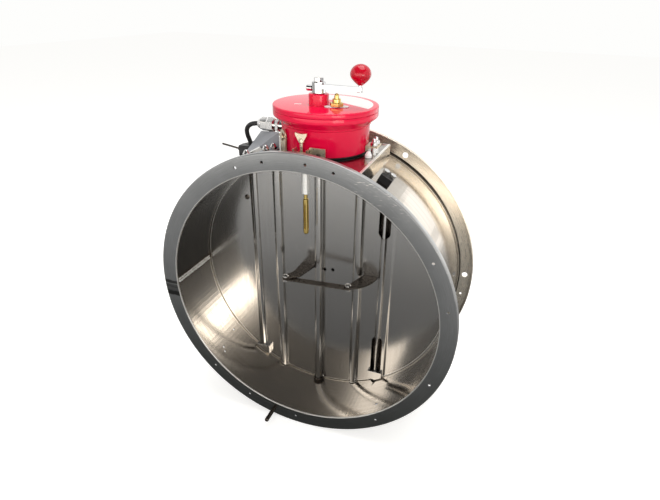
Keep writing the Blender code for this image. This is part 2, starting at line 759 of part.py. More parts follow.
def build_blade(blade_axis):
    bm = bmesh.new()
    line = blade_line()
    low = [bm.verts.new((x, y, -FLANGE_RADIUS)) for x, y in line]
    high = [bm.verts.new((x, y, FLANGE_RADIUS)) for x, y in line]
    for step in range(len(line) - 1):
        bm.faces.new((low[step], low[step + 1], high[step + 1], high[step]))
    blade = piece("blade", bm, stainless(), blade_axis)
    if blade.data.polygons[0].normal.y > 0:
        blade.data.flip_normals()
    wall = blade.modifiers.new("sheet", "SOLIDIFY")
    wall.thickness = BLADE_SHEET
    wall.offset = -1.0
    wall.use_even_offset = True
    combine(blade, [round_of_duct("blade_outline", BLADE_RADIUS)], "INTERSECT")
    cut(blade, rod("top_notch", NOTCH_RADIUS, NOTCH_Z, FLANGE_RADIUS, stainless(), 20),
        rod("bottom_notch", NOTCH_RADIUS, -FLANGE_RADIUS, -NOTCH_Z, stainless(), 20))
    for end in (-1, 1):
        middle = end * (SLOT_INNER_Z + FLANGE_RADIUS) / 2
        length = FLANGE_RADIUS - SLOT_INNER_Z
        slot = prism(f"rod_slot_{end}", slot_outline(SLOT_WIDTH, length), -BLADE_BACK * 2,
                     BLADE_BACK * 2, stainless(), at=(RIGHT_ROD_X, 0, middle),
                     turn=along_minus_y())
        cut(blade, slot)

    seal_front = BLADE_BACK + JOGGLE_DEPTH + FIT
    section = [(BLADE_RADIUS - SEAL_WIDTH, seal_front), (BLADE_RADIUS, seal_front),
               (BLADE_RADIUS, seal_front + SEAL_THICKNESS),
               (BLADE_RADIUS - SEAL_WIDTH, seal_front + SEAL_THICKNESS)]
    turned("blade_seal", section, RIM_SEGMENTS, spring_steel(), blade_axis, turn=along_y())

    pan_front = seal_front + SEAL_THICKNESS + FIT
    pan_back = pan_front + PAN_DEPTH
    inner = PAN_RADIUS - PAN_SHEET
    brim = BLADE_RADIUS - SEAL_WIDTH / 2
    pan = [
        (0, pan_back - PAN_SHEET),
        (inner, pan_back - PAN_SHEET),
        (inner, pan_front),
        (brim, pan_front),
        (brim, pan_front + PAN_SHEET),
        (PAN_RADIUS, pan_front + PAN_SHEET),
        (PAN_RADIUS, pan_back),
        (0, pan_back),
    ]
    turned("blade_back", pan, RIM_SEGMENTS, dark_stainless(), blade_axis, turn=along_y())


def build_rods(blade_axis):
    """Two straight stiffening rods behind pressed channels, each with a clip at its foot.

    The left clip sits over its channel, and the right one on the bare rod, in the slot.
    """
    rod_y = BLADE_FACE + ROD_SINK
    foot = -ROD_END_Z + CLIP_HEIGHT
    for x, name, covered in ((LEFT_ROD_X, "left", CHANNEL_RADIUS), (RIGHT_ROD_X, "right", ROD_RADIUS)):
        rod(f"{name}_rod", ROD_RADIUS, -ROD_END_Z, ROD_END_Z, stainless(), 12, blade_axis,
            at=(x, rod_y, 0))
        hole_radius = covered + FIT
        low = (x - CLIP_WIDTH / 2, rod_y - hole_radius - CLIP_WALL, foot - 2 * CLIP_HEIGHT)
        high = (x + CLIP_WIDTH / 2, BLADE_FACE - FIT, foot)
        clip = block(f"{name}_rod_clip", low, high, dark_stainless(), blade_axis)
        hole = rod(f"{name}_clip_hole", hole_radius, -FLANGE_RADIUS, 0, stainless(), 16,
                   at=(x, rod_y, 0))
        cut(clip, hole)
        combine(clip, [round_of_duct(f"{name}_clip_trim", BLADE_RADIUS)], "INTERSECT")


def build_straps(blade_axis):
    """A bow of three flat straps, bolted together in front of the blade."""
    root = BLADE_FACE - FIT
    low = STRAP_Z
    high = low + STRAP_THICKNESS
    half = STRAP_WIDTH / 2

    arm = [(ARM_ROOT[1], root), (ARM_ROOT[0], root)]
    arm += arc((ARM_ROOT[0] - ARM_HOLLOW_RADIUS, ARM_HOLLOW_Y), ARM_HOLLOW_RADIUS, 0, -40, 5)
    arm += arc(LEFT_JOINT, ARM_END_RADIUS, 150, 285, 8)
    arm.append(ARM_HEEL)
    arm_piece = prism("strap_arm", arm, low, high, dark_stainless(), blade_axis)

    run = Vector(RIGHT_JOINT) - Vector(LEFT_JOINT)
    heading = math.degrees(math.atan2(run.y, run.x))
    link = arc(LEFT_JOINT, ARM_END_RADIUS, heading + 90, heading + 270, 10)
    link += arc(RIGHT_JOINT, half, heading - 90, heading + 90, 10)
    link_top = low - FIT
    link_piece = prism("strap_link", link, link_top - STRAP_THICKNESS, link_top,
                       dark_stainless(), blade_axis)

    bend_y = RIGHT_JOINT[1] + LUG_BEND_RISE
    bend_end = math.asin((root - bend_y) / LUG_BEND_RADIUS)
    bend_x = LUG_ROOT[1] - LUG_BEND_RADIUS * math.cos(bend_end)
    lug = [(LUG_ROOT[0], root)]
    lug += arc(RIGHT_JOINT, half, 90, 285, 10)
    lug += arc((bend_x, bend_y), LUG_BEND_RADIUS, -52, math.degrees(bend_end), 8)
    lug_piece = prism("strap_lug", lug, low, high, dark_stainless(), blade_axis)

    shank = STRAP_BOLT_DIAMETER / 2
    holes = {}
    for name, place in (("left", LEFT_JOINT), ("right", RIGHT_JOINT)):
        holes[name] = rod(f"{name}_strap_hole", shank + FIT, 0, 2 * high, stainless(), 12,
                          at=(*place, 0))
    cut(arm_piece, holes["left"])
    cut(link_piece, holes["left"], holes["right"])
    cut(lug_piece, holes["right"])

    head = shank + STRAP_HEAD_STEP
    under = link_top - STRAP_THICKNESS - FIT
    over = high + FIT
    nut_bottom = under - 0.004
    thread_end = under - 0.006
    head_edge = over + 0.0012
    head_shoulder = over + 0.0028
    head_top = over + 0.0034
    bolt = [
        (0, thread_end), (shank, thread_end), (shank, nut_bottom), (head, nut_bottom),
        (head, under), (shank, under), (shank, over), (head, over), (head, head_edge),
        (head * 0.7, head_shoulder), (0, head_top),
    ]
    for name, place in (("left", LEFT_JOINT), ("right", RIGHT_JOINT)):
        turned(f"{name}_strap_bolt", bolt, 12, polished_steel(), blade_axis, at=(*place, 0))


def build_saddle_box():
    floor = math.sqrt(DUCT_RADIUS ** 2 - BOX_HALF_WIDTH ** 2) - OVERSHOOT
    outer = block("saddle_box", (-BOX_HALF_WIDTH, BOX_FRONT, floor),
                  (BOX_HALF_WIDTH, BOX_BACK, BOX_TOP), polished_steel())
    inside = block("box_inside",
                   (-BOX_HALF_WIDTH + BOX_SHEET, BOX_FRONT + BOX_SHEET, floor - OVERSHOOT),
                   (BOX_HALF_WIDTH - BOX_SHEET, BOX_BACK - BOX_SHEET, BOX_UNDER), polished_steel())
    saddle = round_of_duct("saddle_cut", DUCT_RADIUS + FIT)
    low = BOX_UNDER - OVERSHOOT
    high = BOX_TOP + OVERSHOOT
    shaft_hole = rod("box_shaft_hole", SHAFT_RADIUS + BOX_SHAFT_CLEARANCE, low, high,
                     polished_steel(), 24)
    link_hole = rod("box_link_hole", LINK_HOLDER_RADIUS + FIT, low, high, polished_steel(), 20,
                    at=(*LINK_PLACE, 0))
    cut(outer, inside, saddle, shaft_hole, link_hole)


def build_gasket():
    outer = DRUM_RADIUS - GASKET_INSET
    inner = outer - GASKET_WIDTH
    ring = [(inner, BOX_SEAT), (outer, BOX_SEAT), (outer, GASKET_TOP), (inner, GASKET_TOP)]
    turned("drum_gasket", ring, DRUM_SEGMENTS, black_rubber(), at=(*DRUM_CENTRE, 0))


def build_housing():
    """Cast drum: a floor, a wall and a wider rim that carries the lid."""
    rim_bottom = DRUM_TOP - RIM_HEIGHT
    lip = DRUM_RADIUS + STEP_LIP
    bore = DRUM_RADIUS - DRUM_WALL
    rim_seat = LID_PARTING - FIT
    section = [
        (0, DRUM_BOTTOM),
        (DRUM_RADIUS - DRUM_EDGE, DRUM_BOTTOM),
        (DRUM_RADIUS, DRUM_BOTTOM + DRUM_EDGE),
        (DRUM_RADIUS, STEP_Z),
        (lip, STEP_Z + DRUM_EDGE),
        (lip, STEP_Z + 2 * DRUM_EDGE),
        (RIM_RADIUS - RIM_CHAMFER, rim_bottom - RIM_CHAMFER),
        (RIM_RADIUS, rim_bottom),
        (RIM_RADIUS, rim_seat),
        (RIM_BORE, rim_seat),
        (RIM_BORE, rim_bottom + DRUM_EDGE),
        (lip - DRUM_WALL, STEP_Z + 2 * DRUM_EDGE),
        (bore, STEP_Z),
        (bore, FLOOR_TOP),
        (0, FLOOR_TOP),
    ]
    housing = turned("drum_housing", section, DRUM_SEGMENTS, red_enamel(), at=(*DRUM_CENTRE, 0))
    low = DRUM_BOTTOM - OVERSHOOT
    high = FLOOR_TOP + OVERSHOOT
    shaft_hole = rod("floor_shaft_hole", SHAFT_RADIUS + DRUM_SHAFT_CLEARANCE, low, high,
                     red_enamel(), 24)
    link_hole = rod("floor_link_hole", LINK_HOLDER_RADIUS + FIT, low, high, red_enamel(), 20,
                    at=(*LINK_PLACE, 0))
    gland_hole = rod("gland_hole", GLAND_THREAD_RADIUS + FIT, DRUM_LEFT - OVERSHOOT,
                     DRUM_LEFT + 2 * OVERSHOOT, red_enamel(), 20, at=(0, *GLAND_PLACE), turn=along_x())
    cut(housing, shaft_hole, link_hole, gland_hole)


def build_lid():
    """Lid with a boss that guides the shaft, and a hole for the hand release."""
    cover = [
        (0, DRUM_TOP),
        (RIM_RADIUS - LID_EDGE, DRUM_TOP),
        (RIM_RADIUS, DRUM_TOP - LID_EDGE),
        (RIM_RADIUS, LID_PARTING),
        (RIM_BORE, LID_PARTING),
        (RIM_BORE, LID_UNDER),
        (0, LID_UNDER),
    ]
    lid = turned("drum_lid", cover, DRUM_SEGMENTS, red_enamel(), at=(*DRUM_CENTRE, 0))
    boss_root = (DRUM_TOP + LID_UNDER) / 2
    boss = [
        (0, boss_root),
        (LID_BOSS_RADIUS, boss_root),
        (LID_BOSS_RADIUS, BOSS_TOP - LID_BOSS_EDGE),
        (LID_BOSS_RADIUS - LID_BOSS_EDGE, BOSS_TOP),
        (0, BOSS_TOP),
    ]
    weld(lid, turned("lid_boss", boss, 28, red_enamel()))
    low = LID_UNDER - OVERSHOOT
    shaft_hole = rod("lid_shaft_hole", SHAFT_BORE, low, BOSS_TOP + OVERSHOOT, red_enamel(), 24)
    pin_hole = rod("lid_release_hole", RELEASE_HOLE_RADIUS, low, DRUM_TOP + OVERSHOOT, red_enamel(),
                   16, at=(*RELEASE_PLACE, 0))
    cut(lid, shaft_hole, pin_hole)


def spiral_band(inner, turns, pitch, band, low, high, steps_per_turn=16):
    """A flat clock spring wound outwards from a radius."""
    bm = bmesh.new()
    rings = []
    for step in range(turns * steps_per_turn + 1):
        share = step / steps_per_turn
        angle = math.tau * share
        direction = Vector((math.cos(angle), math.sin(angle), 0))
        near = direction * (inner + pitch * share)
        far = direction * (inner + pitch * share + band)
        corners = (near + Vector((0, 0, low)), far + Vector((0, 0, low)),
                   far + Vector((0, 0, high)), near + Vector((0, 0, high)))
        rings.append([bm.verts.new(corner) for corner in corners])
    for here, there in zip(rings, rings[1:]):
        for side in range(4):
            after = (side + 1) % 4
            bm.faces.new((here[side], here[after], there[after], there[side]))
    bm.faces.new(rings[0])
    bm.faces.new(rings[-1])
    return bm


def build_drum_works(blade_axis):
    """Clock spring, its notched arbor on the shaft, and the post that anchors the spring."""
    cam_low = LINK_COLLAR_TOP + CAM_CLEARANCE
    cam_high = cam_low + CAM_THICKNESS
    arbor = [
        (SHAFT_BORE, cam_low),
        (CAM_RADIUS, cam_low),
        (CAM_RADIUS, cam_high),
        (ARBOR_RADIUS, cam_high),
        (ARBOR_RADIUS, cam_high + ARBOR_HEIGHT),
        (SHAFT_BORE, cam_high + ARBOR_HEIGHT),
    ]
    arbor_piece = turned("spring_arbor", arbor, 28, spring_steel(), blade_axis)
    half = CAM_NOTCH_WIDTH / 2
    notch = block("cam_notch", (CAM_RADIUS - CAM_NOTCH_DEPTH, -half, cam_low - FIT),
                  (CAM_RADIUS + CAM_NOTCH_DEPTH, half, cam_high + FIT), spring_steel())
    cut(arbor_piece, notch)

    spring_low = cam_high + SPRING_LIFT
    spring_high = spring_low + SPRING_HEIGHT
    inner = ARBOR_RADIUS + FIT
    band = spiral_band(inner, SPRING_TURNS, SPRING_PITCH, SPRING_BAND, spring_low, spring_high)
    piece("power_spring", band, spring_steel())
    post_place = inner + SPRING_PITCH * SPRING_TURNS + SPRING_BAND + FIT + POST_RADIUS
    rod("spring_post", POST_RADIUS, FLOOR_TOP + FIT, spring_high + POST_ABOVE_SPRING,
        spring_steel(), 12, at=(post_place, 0, 0))


def build_link():
    """Spring-loaded fuse holder hung through the box, with the brass fusible cage below it."""
    place = (*LINK_PLACE, 0)
    collar_low = FLOOR_TOP + FIT
    holder = [
        (0, LINK_HOLDER_BOTTOM),
        (LINK_HOLDER_RADIUS - LINK_HOLDER_EDGE, LINK_HOLDER_BOTTOM),
        (LINK_HOLDER_RADIUS, LINK_HOLDER_BOTTOM + LINK_HOLDER_EDGE),
        (LINK_HOLDER_RADIUS, collar_low),
        (LINK_COLLAR_RADIUS, collar_low),
        (LINK_COLLAR_RADIUS, LINK_COLLAR_TOP),
        (0, LINK_COLLAR_TOP),
    ]
    turned("link_holder", holder, 16, polished_steel(), at=place)
    neck_top = LINK_HOLDER_BOTTOM - FIT
    neck_low = neck_top - LINK_NECK_LENGTH
    neck = LINK_RADIUS * 0.7
    tip = LINK_RADIUS * 0.6
    cage = [
        (0, LINK_BOTTOM),
        (tip, LINK_BOTTOM),
        (LINK_RADIUS, LINK_BOTTOM + 0.003),
        (LINK_RADIUS, neck_low - 0.002),
        (neck, neck_low),
        (neck, neck_top),
        (0, neck_top),
    ]
    body = turned("fusible_link", cage, 16, brass(), at=place)
    window_low = LINK_BOTTOM + LINK_SLOT_FROM_BOTTOM
    window_high = neck_top - LINK_SLOT_FROM_TOP
    half = LINK_SLOT_WIDTH / 2
    for name, turn in (("cage_window_a", 0), ("cage_window_b", 90)):
        window = block(name, (-half, -2 * LINK_RADIUS, window_low), (half, 2 * LINK_RADIUS, window_high),
                       brass())
        window.location = Vector((*LINK_PLACE, (window_low + window_high) / 2))
        window.rotation_euler = (0, 0, math.radians(turn))
        cut(body, window)


def build_crank(blade_axis):
    """Crank: a hub on the shaft, a flat tapered arm, its set screw and its top nut."""
    hub = [
        (0, HUB_BOTTOM),
        (HUB_RADIUS - HUB_EDGE, HUB_BOTTOM),
        (HUB_RADIUS, HUB_BOTTOM + HUB_EDGE),
        (HUB_RADIUS, HUB_TOP - HUB_EDGE),
        (HUB_RADIUS - HUB_EDGE, HUB_TOP),
        (0, HUB_TOP),
    ]
    crank = turned("crank_arm", hub, 20, chrome(), blade_axis)
    half = CRANK_ARM_WIDTH / 2
    outline = [(0, half * 1.5), (0, -half * 1.5)]
    outline += arc((CRANK_LENGTH, 0), half * 0.8, -90, 90, 8)
    weld(crank, prism("crank_bar", outline, ARM_BOTTOM, ARM_TOP, chrome()))
    screw_z = HUB_BOTTOM + SET_SCREW_LIFT
    screw_hole = rod("set_screw_hole", SET_SCREW_RADIUS + FIT, -HUB_RADIUS - OVERSHOOT,
                     -SHAFT_RADIUS, chrome(), 12, at=(0, 0, screw_z), turn=along_x())
    bore = rod("crank_bore", SHAFT_BORE, HUB_BOTTOM - OVERSHOOT, HUB_TOP + OVERSHOOT, chrome(), 24)
    stud_hole = rod("knob_stud_hole", KNOB_STUD_RADIUS + FIT, ARM_BOTTOM - OVERSHOOT,
                    ARM_TOP + OVERSHOOT, chrome(), 12, at=(CRANK_LENGTH, 0, 0))
    cut(crank, bore, screw_hole, stud_hole)

    head_end = -HUB_RADIUS - SET_SCREW_HEAD_LENGTH
    screw = [
        (0, head_end),
        (SET_SCREW_HEAD_RADIUS - HUB_EDGE, head_end),
        (SET_SCREW_HEAD_RADIUS, head_end + HUB_EDGE),
        (SET_SCREW_HEAD_RADIUS, -HUB_RADIUS - FIT),
        (SET_SCREW_RADIUS, -HUB_RADIUS - FIT),
        (SET_SCREW_RADIUS, -SHAFT_BORE),
        (0, -SHAFT_BORE),
    ]
    turned("crank_set_screw", screw, 12, dark_stainless(), blade_axis, at=(0, 0, screw_z),
           turn=along_x())

    nut_low = HUB_TOP + FIT
    nut_high = nut_low + CRANK_NUT_HEIGHT
    nut = prism("crank_nut", hexagon(CRANK_NUT_HEX), nut_low, nut_high, polished_steel(), blade_axis)
    cut(nut, rod("crank_nut_bore", TOP_THREAD_RADIUS + FIT, nut_low - OVERSHOOT,
                 nut_high + OVERSHOOT, chrome(), 16))


def knob_outline(low):
    """Half outline of the egg-shaped knob, widest a little above its middle."""
    steps = 10
    profile = [(0, low)]
    for step in range(1, steps):
        height = 0.5 - 0.5 * math.cos(math.pi * step / steps)
        if height < KNOB_WIDEST_AT:
            bulge = math.sin(math.pi / 2 * height / KNOB_WIDEST_AT) ** 0.85
        else:
            bulge = math.sqrt(1 - ((height - KNOB_WIDEST_AT) / (1 - KNOB_WIDEST_AT)) ** 2)
        profile.append((KNOB_DIAMETER / 2 * bulge, low + KNOB_HEIGHT * height))
    profile.append((0, low + KNOB_HEIGHT))
    return profile


def build_knob(blade_axis):
    """Knob on the arm's end, held by a stud from below."""
    place = (CRANK_LENGTH, 0, 0)
    knob_low = ARM_TOP + FIT
    stud_top = knob_low + KNOB_STUD_REACH
    head_low = ARM_BOTTOM - KNOB_STUD_HEAD
    stud = [
        (0, head_low),
        (KNOB_STUD_HEAD_RADIUS, head_low),
        (KNOB_STUD_HEAD_RADIUS, ARM_BOTTOM - FIT),
        (KNOB_STUD_RADIUS, ARM_BOTTOM - FIT),
        (KNOB_STUD_RADIUS, stud_top),
        (0, stud_top),
    ]
    turned("knob_stud", stud, 12, chrome(), blade_axis, at=place)
    knob = turned("ball_knob", knob_outline(knob_low), 20, red_enamel(), blade_axis, at=place)
    socket = rod("knob_socket", KNOB_STUD_RADIUS + FIT, knob_low - OVERSHOOT, stud_top + FIT,
                 red_enamel(), 12, at=place)
    cut(knob, socket)


def build_release(release_axis):
    """Hand release: a brass bush on an oval plate, with a pin that is pushed down."""
    place = (*RELEASE_PLACE, 0)
    low = DRUM_TOP + FIT
    top = low + RELEASE_PLATE_THICKNESS
    plate = prism("release_plate", slot_outline(RELEASE_PLATE_WIDTH, RELEASE_PLATE_LENGTH), low, top,
                  polished_steel(), at=place,
                  turn=Matrix.Rotation(math.radians(RELEASE_PLATE_ANGLE - 90), 3, "Z"))
    cut(plate, rod("release_plate_hole", RELEASE_HOLE_RADIUS, low - OVERSHOOT, top + OVERSHOOT,
                   polished_steel(), 16, at=place))
    seat = top + FIT
    bush = prism("release_bush", hexagon(RELEASE_HEX), seat, seat + RELEASE_HEX_HEIGHT, brass(),
                 at=place)
    collar_root = seat + RELEASE_HEX_HEIGHT / 2
    collar_top = seat + RELEASE_COLLAR_HEIGHT
    collar_radius = RELEASE_PIN_RADIUS + RELEASE_COLLAR_WALL
    collar = [
        (0, LID_UNDER),
        (RELEASE_SLEEVE_RADIUS, LID_UNDER),
        (RELEASE_SLEEVE_RADIUS, collar_root),
        (collar_radius, collar_root),
        (collar_radius, collar_top - 0.001),
        (collar_radius - 0.001, collar_top),
        (0, collar_top),
    ]
    weld(bush, turned("release_collar", collar, 16, brass(), at=place))
    cut(bush, rod("release_bore", RELEASE_PIN_RADIUS + FIT, LID_UNDER - OVERSHOOT,
                  collar_top + OVERSHOOT, brass(), 16, at=place))
    tip = DRUM_TOP + RELEASE_PIN_REACH
    foot = LID_UNDER - RELEASE_PIN_INSIDE
    pin = [(0, foot), (RELEASE_PIN_RADIUS, foot)]
    dome = arc((0, tip - RELEASE_PIN_RADIUS), RELEASE_PIN_RADIUS, 0, 90, 5)
    turned("release_pin", pin + dome, 14, brass(), release_axis, at=place)


def build_clamp_bracket():
    """Folded bracket with two lugs for the barrel and an upright with a bolt."""
    pivot_x, pivot_y, pivot_z = CLAMP_PIVOT
    floor = BOX_SEAT + BRACKET_SHEET
    weld_low = BOX_SEAT + BRACKET_SHEET / 2
    half = BARREL_LENGTH / 2 + FIT
    left = pivot_x - half
    right = pivot_x + half
    back = pivot_y + CLAMP_LUG_BACK
    front = back - CLAMP_LUG_DEPTH
    lug_top = pivot_z + CLAMP_LUG_RISE
    plate_right = right + CLAMP_PLATE_REACH
    base = block("clamp_bracket", (left - BRACKET_SHEET, front - CLAMP_TOE, BOX_SEAT),
                 (plate_right, back, floor), yellow_zinc())
    left_lug = block("clamp_left_lug", (left - BRACKET_SHEET, front, weld_low),
                     (left, back, lug_top), yellow_zinc())
    right_lug = block("clamp_right_lug", (right, front, weld_low),
                      (right + BRACKET_SHEET, back, lug_top), yellow_zinc())
    upright = block("clamp_upright", (right + BRACKET_SHEET / 2, back - BRACKET_SHEET, weld_low),
                    (plate_right, back - FIT, lug_top + 0.002), yellow_zinc())
    weld(base, left_lug, right_lug, upright)
    pin_hole = rod("clamp_pin_hole", TRUNNION_RADIUS + FIT, -BARREL_LENGTH, BARREL_LENGTH,
                   yellow_zinc(), 14, at=CLAMP_PIVOT, turn=along_x())
    bolt_place = (right + CLAMP_BOLT_REACH, back, pivot_z)
    bolt_hole = rod("clamp_bolt_hole", CLAMP_BOLT_RADIUS + FIT, -OVERSHOOT, OVERSHOOT,
                    yellow_zinc(), 12, at=bolt_place, turn=along_y())
    cut(base, pin_hole, bolt_hole)
    head_back = -BRACKET_SHEET - FIT
    head_front = head_back - CLAMP_BOLT_HEAD
    bolt = [
        (0, head_front),
        (CLAMP_BOLT_HEAD_RADIUS - 0.0006, head_front),
        (CLAMP_BOLT_HEAD_RADIUS, head_front + 0.0007),
        (CLAMP_BOLT_HEAD_RADIUS, head_back),
        (CLAMP_BOLT_RADIUS, head_back),
        (CLAMP_BOLT_RADIUS, 0),
        (0, 0),
    ]
    turned("clamp_bracket_bolt", bolt, 12, dark_stainless(), at=bolt_place, turn=along_y())


def build_wing_clamp(clamp_axis, wing_axis):
    """Barrel that tilts on its trunnions, and the wing screw that runs through it."""
    pivot_x, pivot_y, pivot_z = CLAMP_PIVOT
    body = BARREL_LENGTH / 2
    tip = body + TRUNNION_LENGTH
    barrel = [(0, -tip), (TRUNNION_RADIUS, -tip), (TRUNNION_RADIUS, -body), (BARREL_RADIUS, -body),
              (BARREL_RADIUS, body), (TRUNNION_RADIUS, body), (TRUNNION_RADIUS, tip), (0, tip)]
    barrel_piece = turned("clamp_barrel", barrel, 16, yellow_zinc(), clamp_axis, at=CLAMP_PIVOT,
                          turn=along_x())
    cut(barrel_piece, rod("barrel_thread", WING_STEM_RADIUS + FIT, -OVERSHOOT, OVERSHOOT,
                          yellow_zinc(), 14, at=CLAMP_PIVOT))

    apex = WING_TOP - WING_HEIGHT
    tip_low = WING_TOP - WING_EDGE
    hollow = WING_TOP - WING_HOLLOW
    root = WING_ROOT_WIDTH / 2
    span = WING_SPAN / 2
    outline = [(-root, apex - 0.001), (root, apex - 0.001), (span, tip_low), (span, WING_TOP),
               (root, hollow), (-root, hollow), (-span, WING_TOP), (-span, tip_low)]
    wing = prism("wing_screw", outline, -WING_THICKNESS / 2, WING_THICKNESS / 2, yellow_zinc(),
                 wing_axis, at=(pivot_x, pivot_y, 0), turn=along_minus_y())
    stem_low = BOX_SEAT + BRACKET_SHEET + WING_FLOOR_GAP - pivot_z
    collar = apex - pivot_z
    stem = [
        (0, stem_low),
        (WING_STEM_RADIUS, stem_low),
        (WING_STEM_RADIUS, collar - 0.002),
        (WING_COLLAR_RADIUS, collar),
        (WING_COLLAR_RADIUS, collar + 0.005),
        (0, collar + 0.007),
    ]
    weld(wing, turned("wing_stem", stem, 14, yellow_zinc(), at=CLAMP_PIVOT))


def bracket_spot(angle, radius):
    """A place around the drum: degrees from -Y towards +X."""
    turn = math.radians(angle)
    return (DRUM_CENTRE[0] + radius * math.sin(turn), DRUM_CENTRE[1] - radius * math.cos(turn))


def build_side_bracket():
    """Slotted upright on the drum's left front, with its foot on the box."""
    half = SIDE_BRACKET_WIDTH / 2
    height = SIDE_BRACKET_TOP - BOX_SEAT
    outline = [(-half, 0), (half, 0)] + arc((0, height - half), half, 0, 180, 10)
    turn = Matrix.Rotation(math.radians(SIDE_BRACKET_ANGLE), 3, "Z")
    back = DRUM_RADIUS + STEP_LIP + FIT
    x, y = bracket_spot(SIDE_BRACKET_ANGLE, back)
    upright = prism("side_bracket", outline, 0, BRACKET_SHEET, yellow_zinc(), at=(x, y, BOX_SEAT),
                    turn=turn @ along_minus_y())
    heel = -BRACKET_SHEET / 5
    foot = prism("side_bracket_foot", [(-half, -SIDE_BRACKET_FOOT), (half, -SIDE_BRACKET_FOOT),
                                       (half, heel), (-half, heel)],
                 BOX_SEAT + 0.0001, BOX_SEAT + BRACKET_SHEET, yellow_zinc(), at=(x, y, 0), turn=turn)
    weld(upright, foot)
    slot_place = (x, y, SIDE_BRACKET_TOP - SIDE_SLOT_FROM_TOP)
    slot = prism("side_bracket_slot", slot_outline(SIDE_SLOT_WIDTH, SIDE_SLOT_LENGTH), -OVERSHOOT,
                 OVERSHOOT, yellow_zinc(), at=slot_place, turn=turn @ along_minus_y())
    cut(upright, slot)
    shank_back = -0.0002
    head_back = BRACKET_SHEET + FIT
    head_front = head_back + SIDE_BOLT_HEAD
    bolt = [
        (0, shank_back),
        (SIDE_BOLT_RADIUS, shank_back),
        (SIDE_BOLT_RADIUS, head_back),
        (SIDE_BOLT_HEAD_RADIUS, head_back),
        (SIDE_BOLT_HEAD_RADIUS, head_front - 0.0008),
        (SIDE_BOLT_HEAD_RADIUS - 0.001, head_front),
        (0, head_front),
    ]
    turned("side_bracket_bolt", bolt, 12, dark_stainless(), at=slot_place,
           turn=turn @ along_minus_y())


def build_ear():
    """Folded ear on the drum's right side, stood off the box by two bolts."""
    wall = DRUM_CENTRE[0] + DRUM_RADIUS + FIT
    y = DRUM_CENTRE[1]
    half = EAR_WIDTH / 2
    ear_top = EAR_Z + BRACKET_SHEET
    ear = block("drum_ear", (wall, y - half, EAR_Z), (wall + EAR_REACH, y + half, ear_top),
                yellow_zinc())
    inset = BRACKET_SHEET / 2
    leaf = block("drum_ear_leaf", (wall + 0.0001, y - half + inset, DRUM_BOTTOM + 0.003),
                 (wall + BRACKET_SHEET, y + half - inset, EAR_Z + inset), yellow_zinc())
    weld(ear, leaf)
    column = wall + EAR_REACH - EAR_BOLT_FROM_TIP
    under = EAR_Z - FIT
    over = ear_top + FIT
    nut_top = over + EAR_NUT_HEIGHT
    end = over + EAR_THREAD_HEIGHT
    bolt = [
        (0, BOX_SEAT),
        (EAR_SPACER_RADIUS, BOX_SEAT),
        (EAR_SPACER_RADIUS, under),
        (EAR_BOLT_RADIUS, under),
        (EAR_BOLT_RADIUS, over),
        (EAR_NUT_RADIUS, over),
        (EAR_NUT_RADIUS, nut_top - 0.001),
        (EAR_BOLT_RADIUS, nut_top),
        (EAR_BOLT_RADIUS, end - 0.0008),
        (EAR_BOLT_RADIUS - 0.0008, end),
        (0, end),
    ]
    for name, offset in (("front", -EAR_BOLT_SPACING / 2), ("back", EAR_BOLT_SPACING / 2)):
        place = (column, y + offset, 0)
        cut(ear, rod(f"ear_hole_{name}", EAR_BOLT_RADIUS + FIT, EAR_Z - OVERSHOOT,
                     ear_top + OVERSHOOT, yellow_zinc(), 12, at=place))
        turned(f"ear_bolt_{name}", bolt, 12, polished_steel(), at=place)


def dome_nut(name, place, low):
    """A dome nut: a round skirt that closes in four steps."""
    steps = ((1.0, 0.0), (1.0, 0.43), (0.8, 0.53), (0.67, 0.77), (0.37, 0.94))
    section = [(0, low)]
    section += [(DOME_NUT_RADIUS * across, low + DOME_NUT_HEIGHT * up) for across, up in steps]
    section.append((0, low + DOME_NUT_HEIGHT))
    turned(name, section, 12, polished_steel(), at=(*place, 0))


def build_box_fasteners():
    from_side, from_front = LEFT_NUT_INSET
    dome_nut("box_nut_left", (-BOX_HALF_WIDTH + from_side, BOX_FRONT + from_front), BOX_SEAT)
    dome_nut("box_nut_right", (BOX_HALF_WIDTH - RIGHT_NUT_INSET,
                               DRUM_CENTRE[1] - RIGHT_NUT_FROM_CENTRE), BOX_SEAT)


def hex_along_x(name, across_flats, low, high):
    return piece(name, prism_mesh(hexagon(across_flats), low, high), polished_steel(), None,
                 (0, *GLAND_PLACE), along_x())


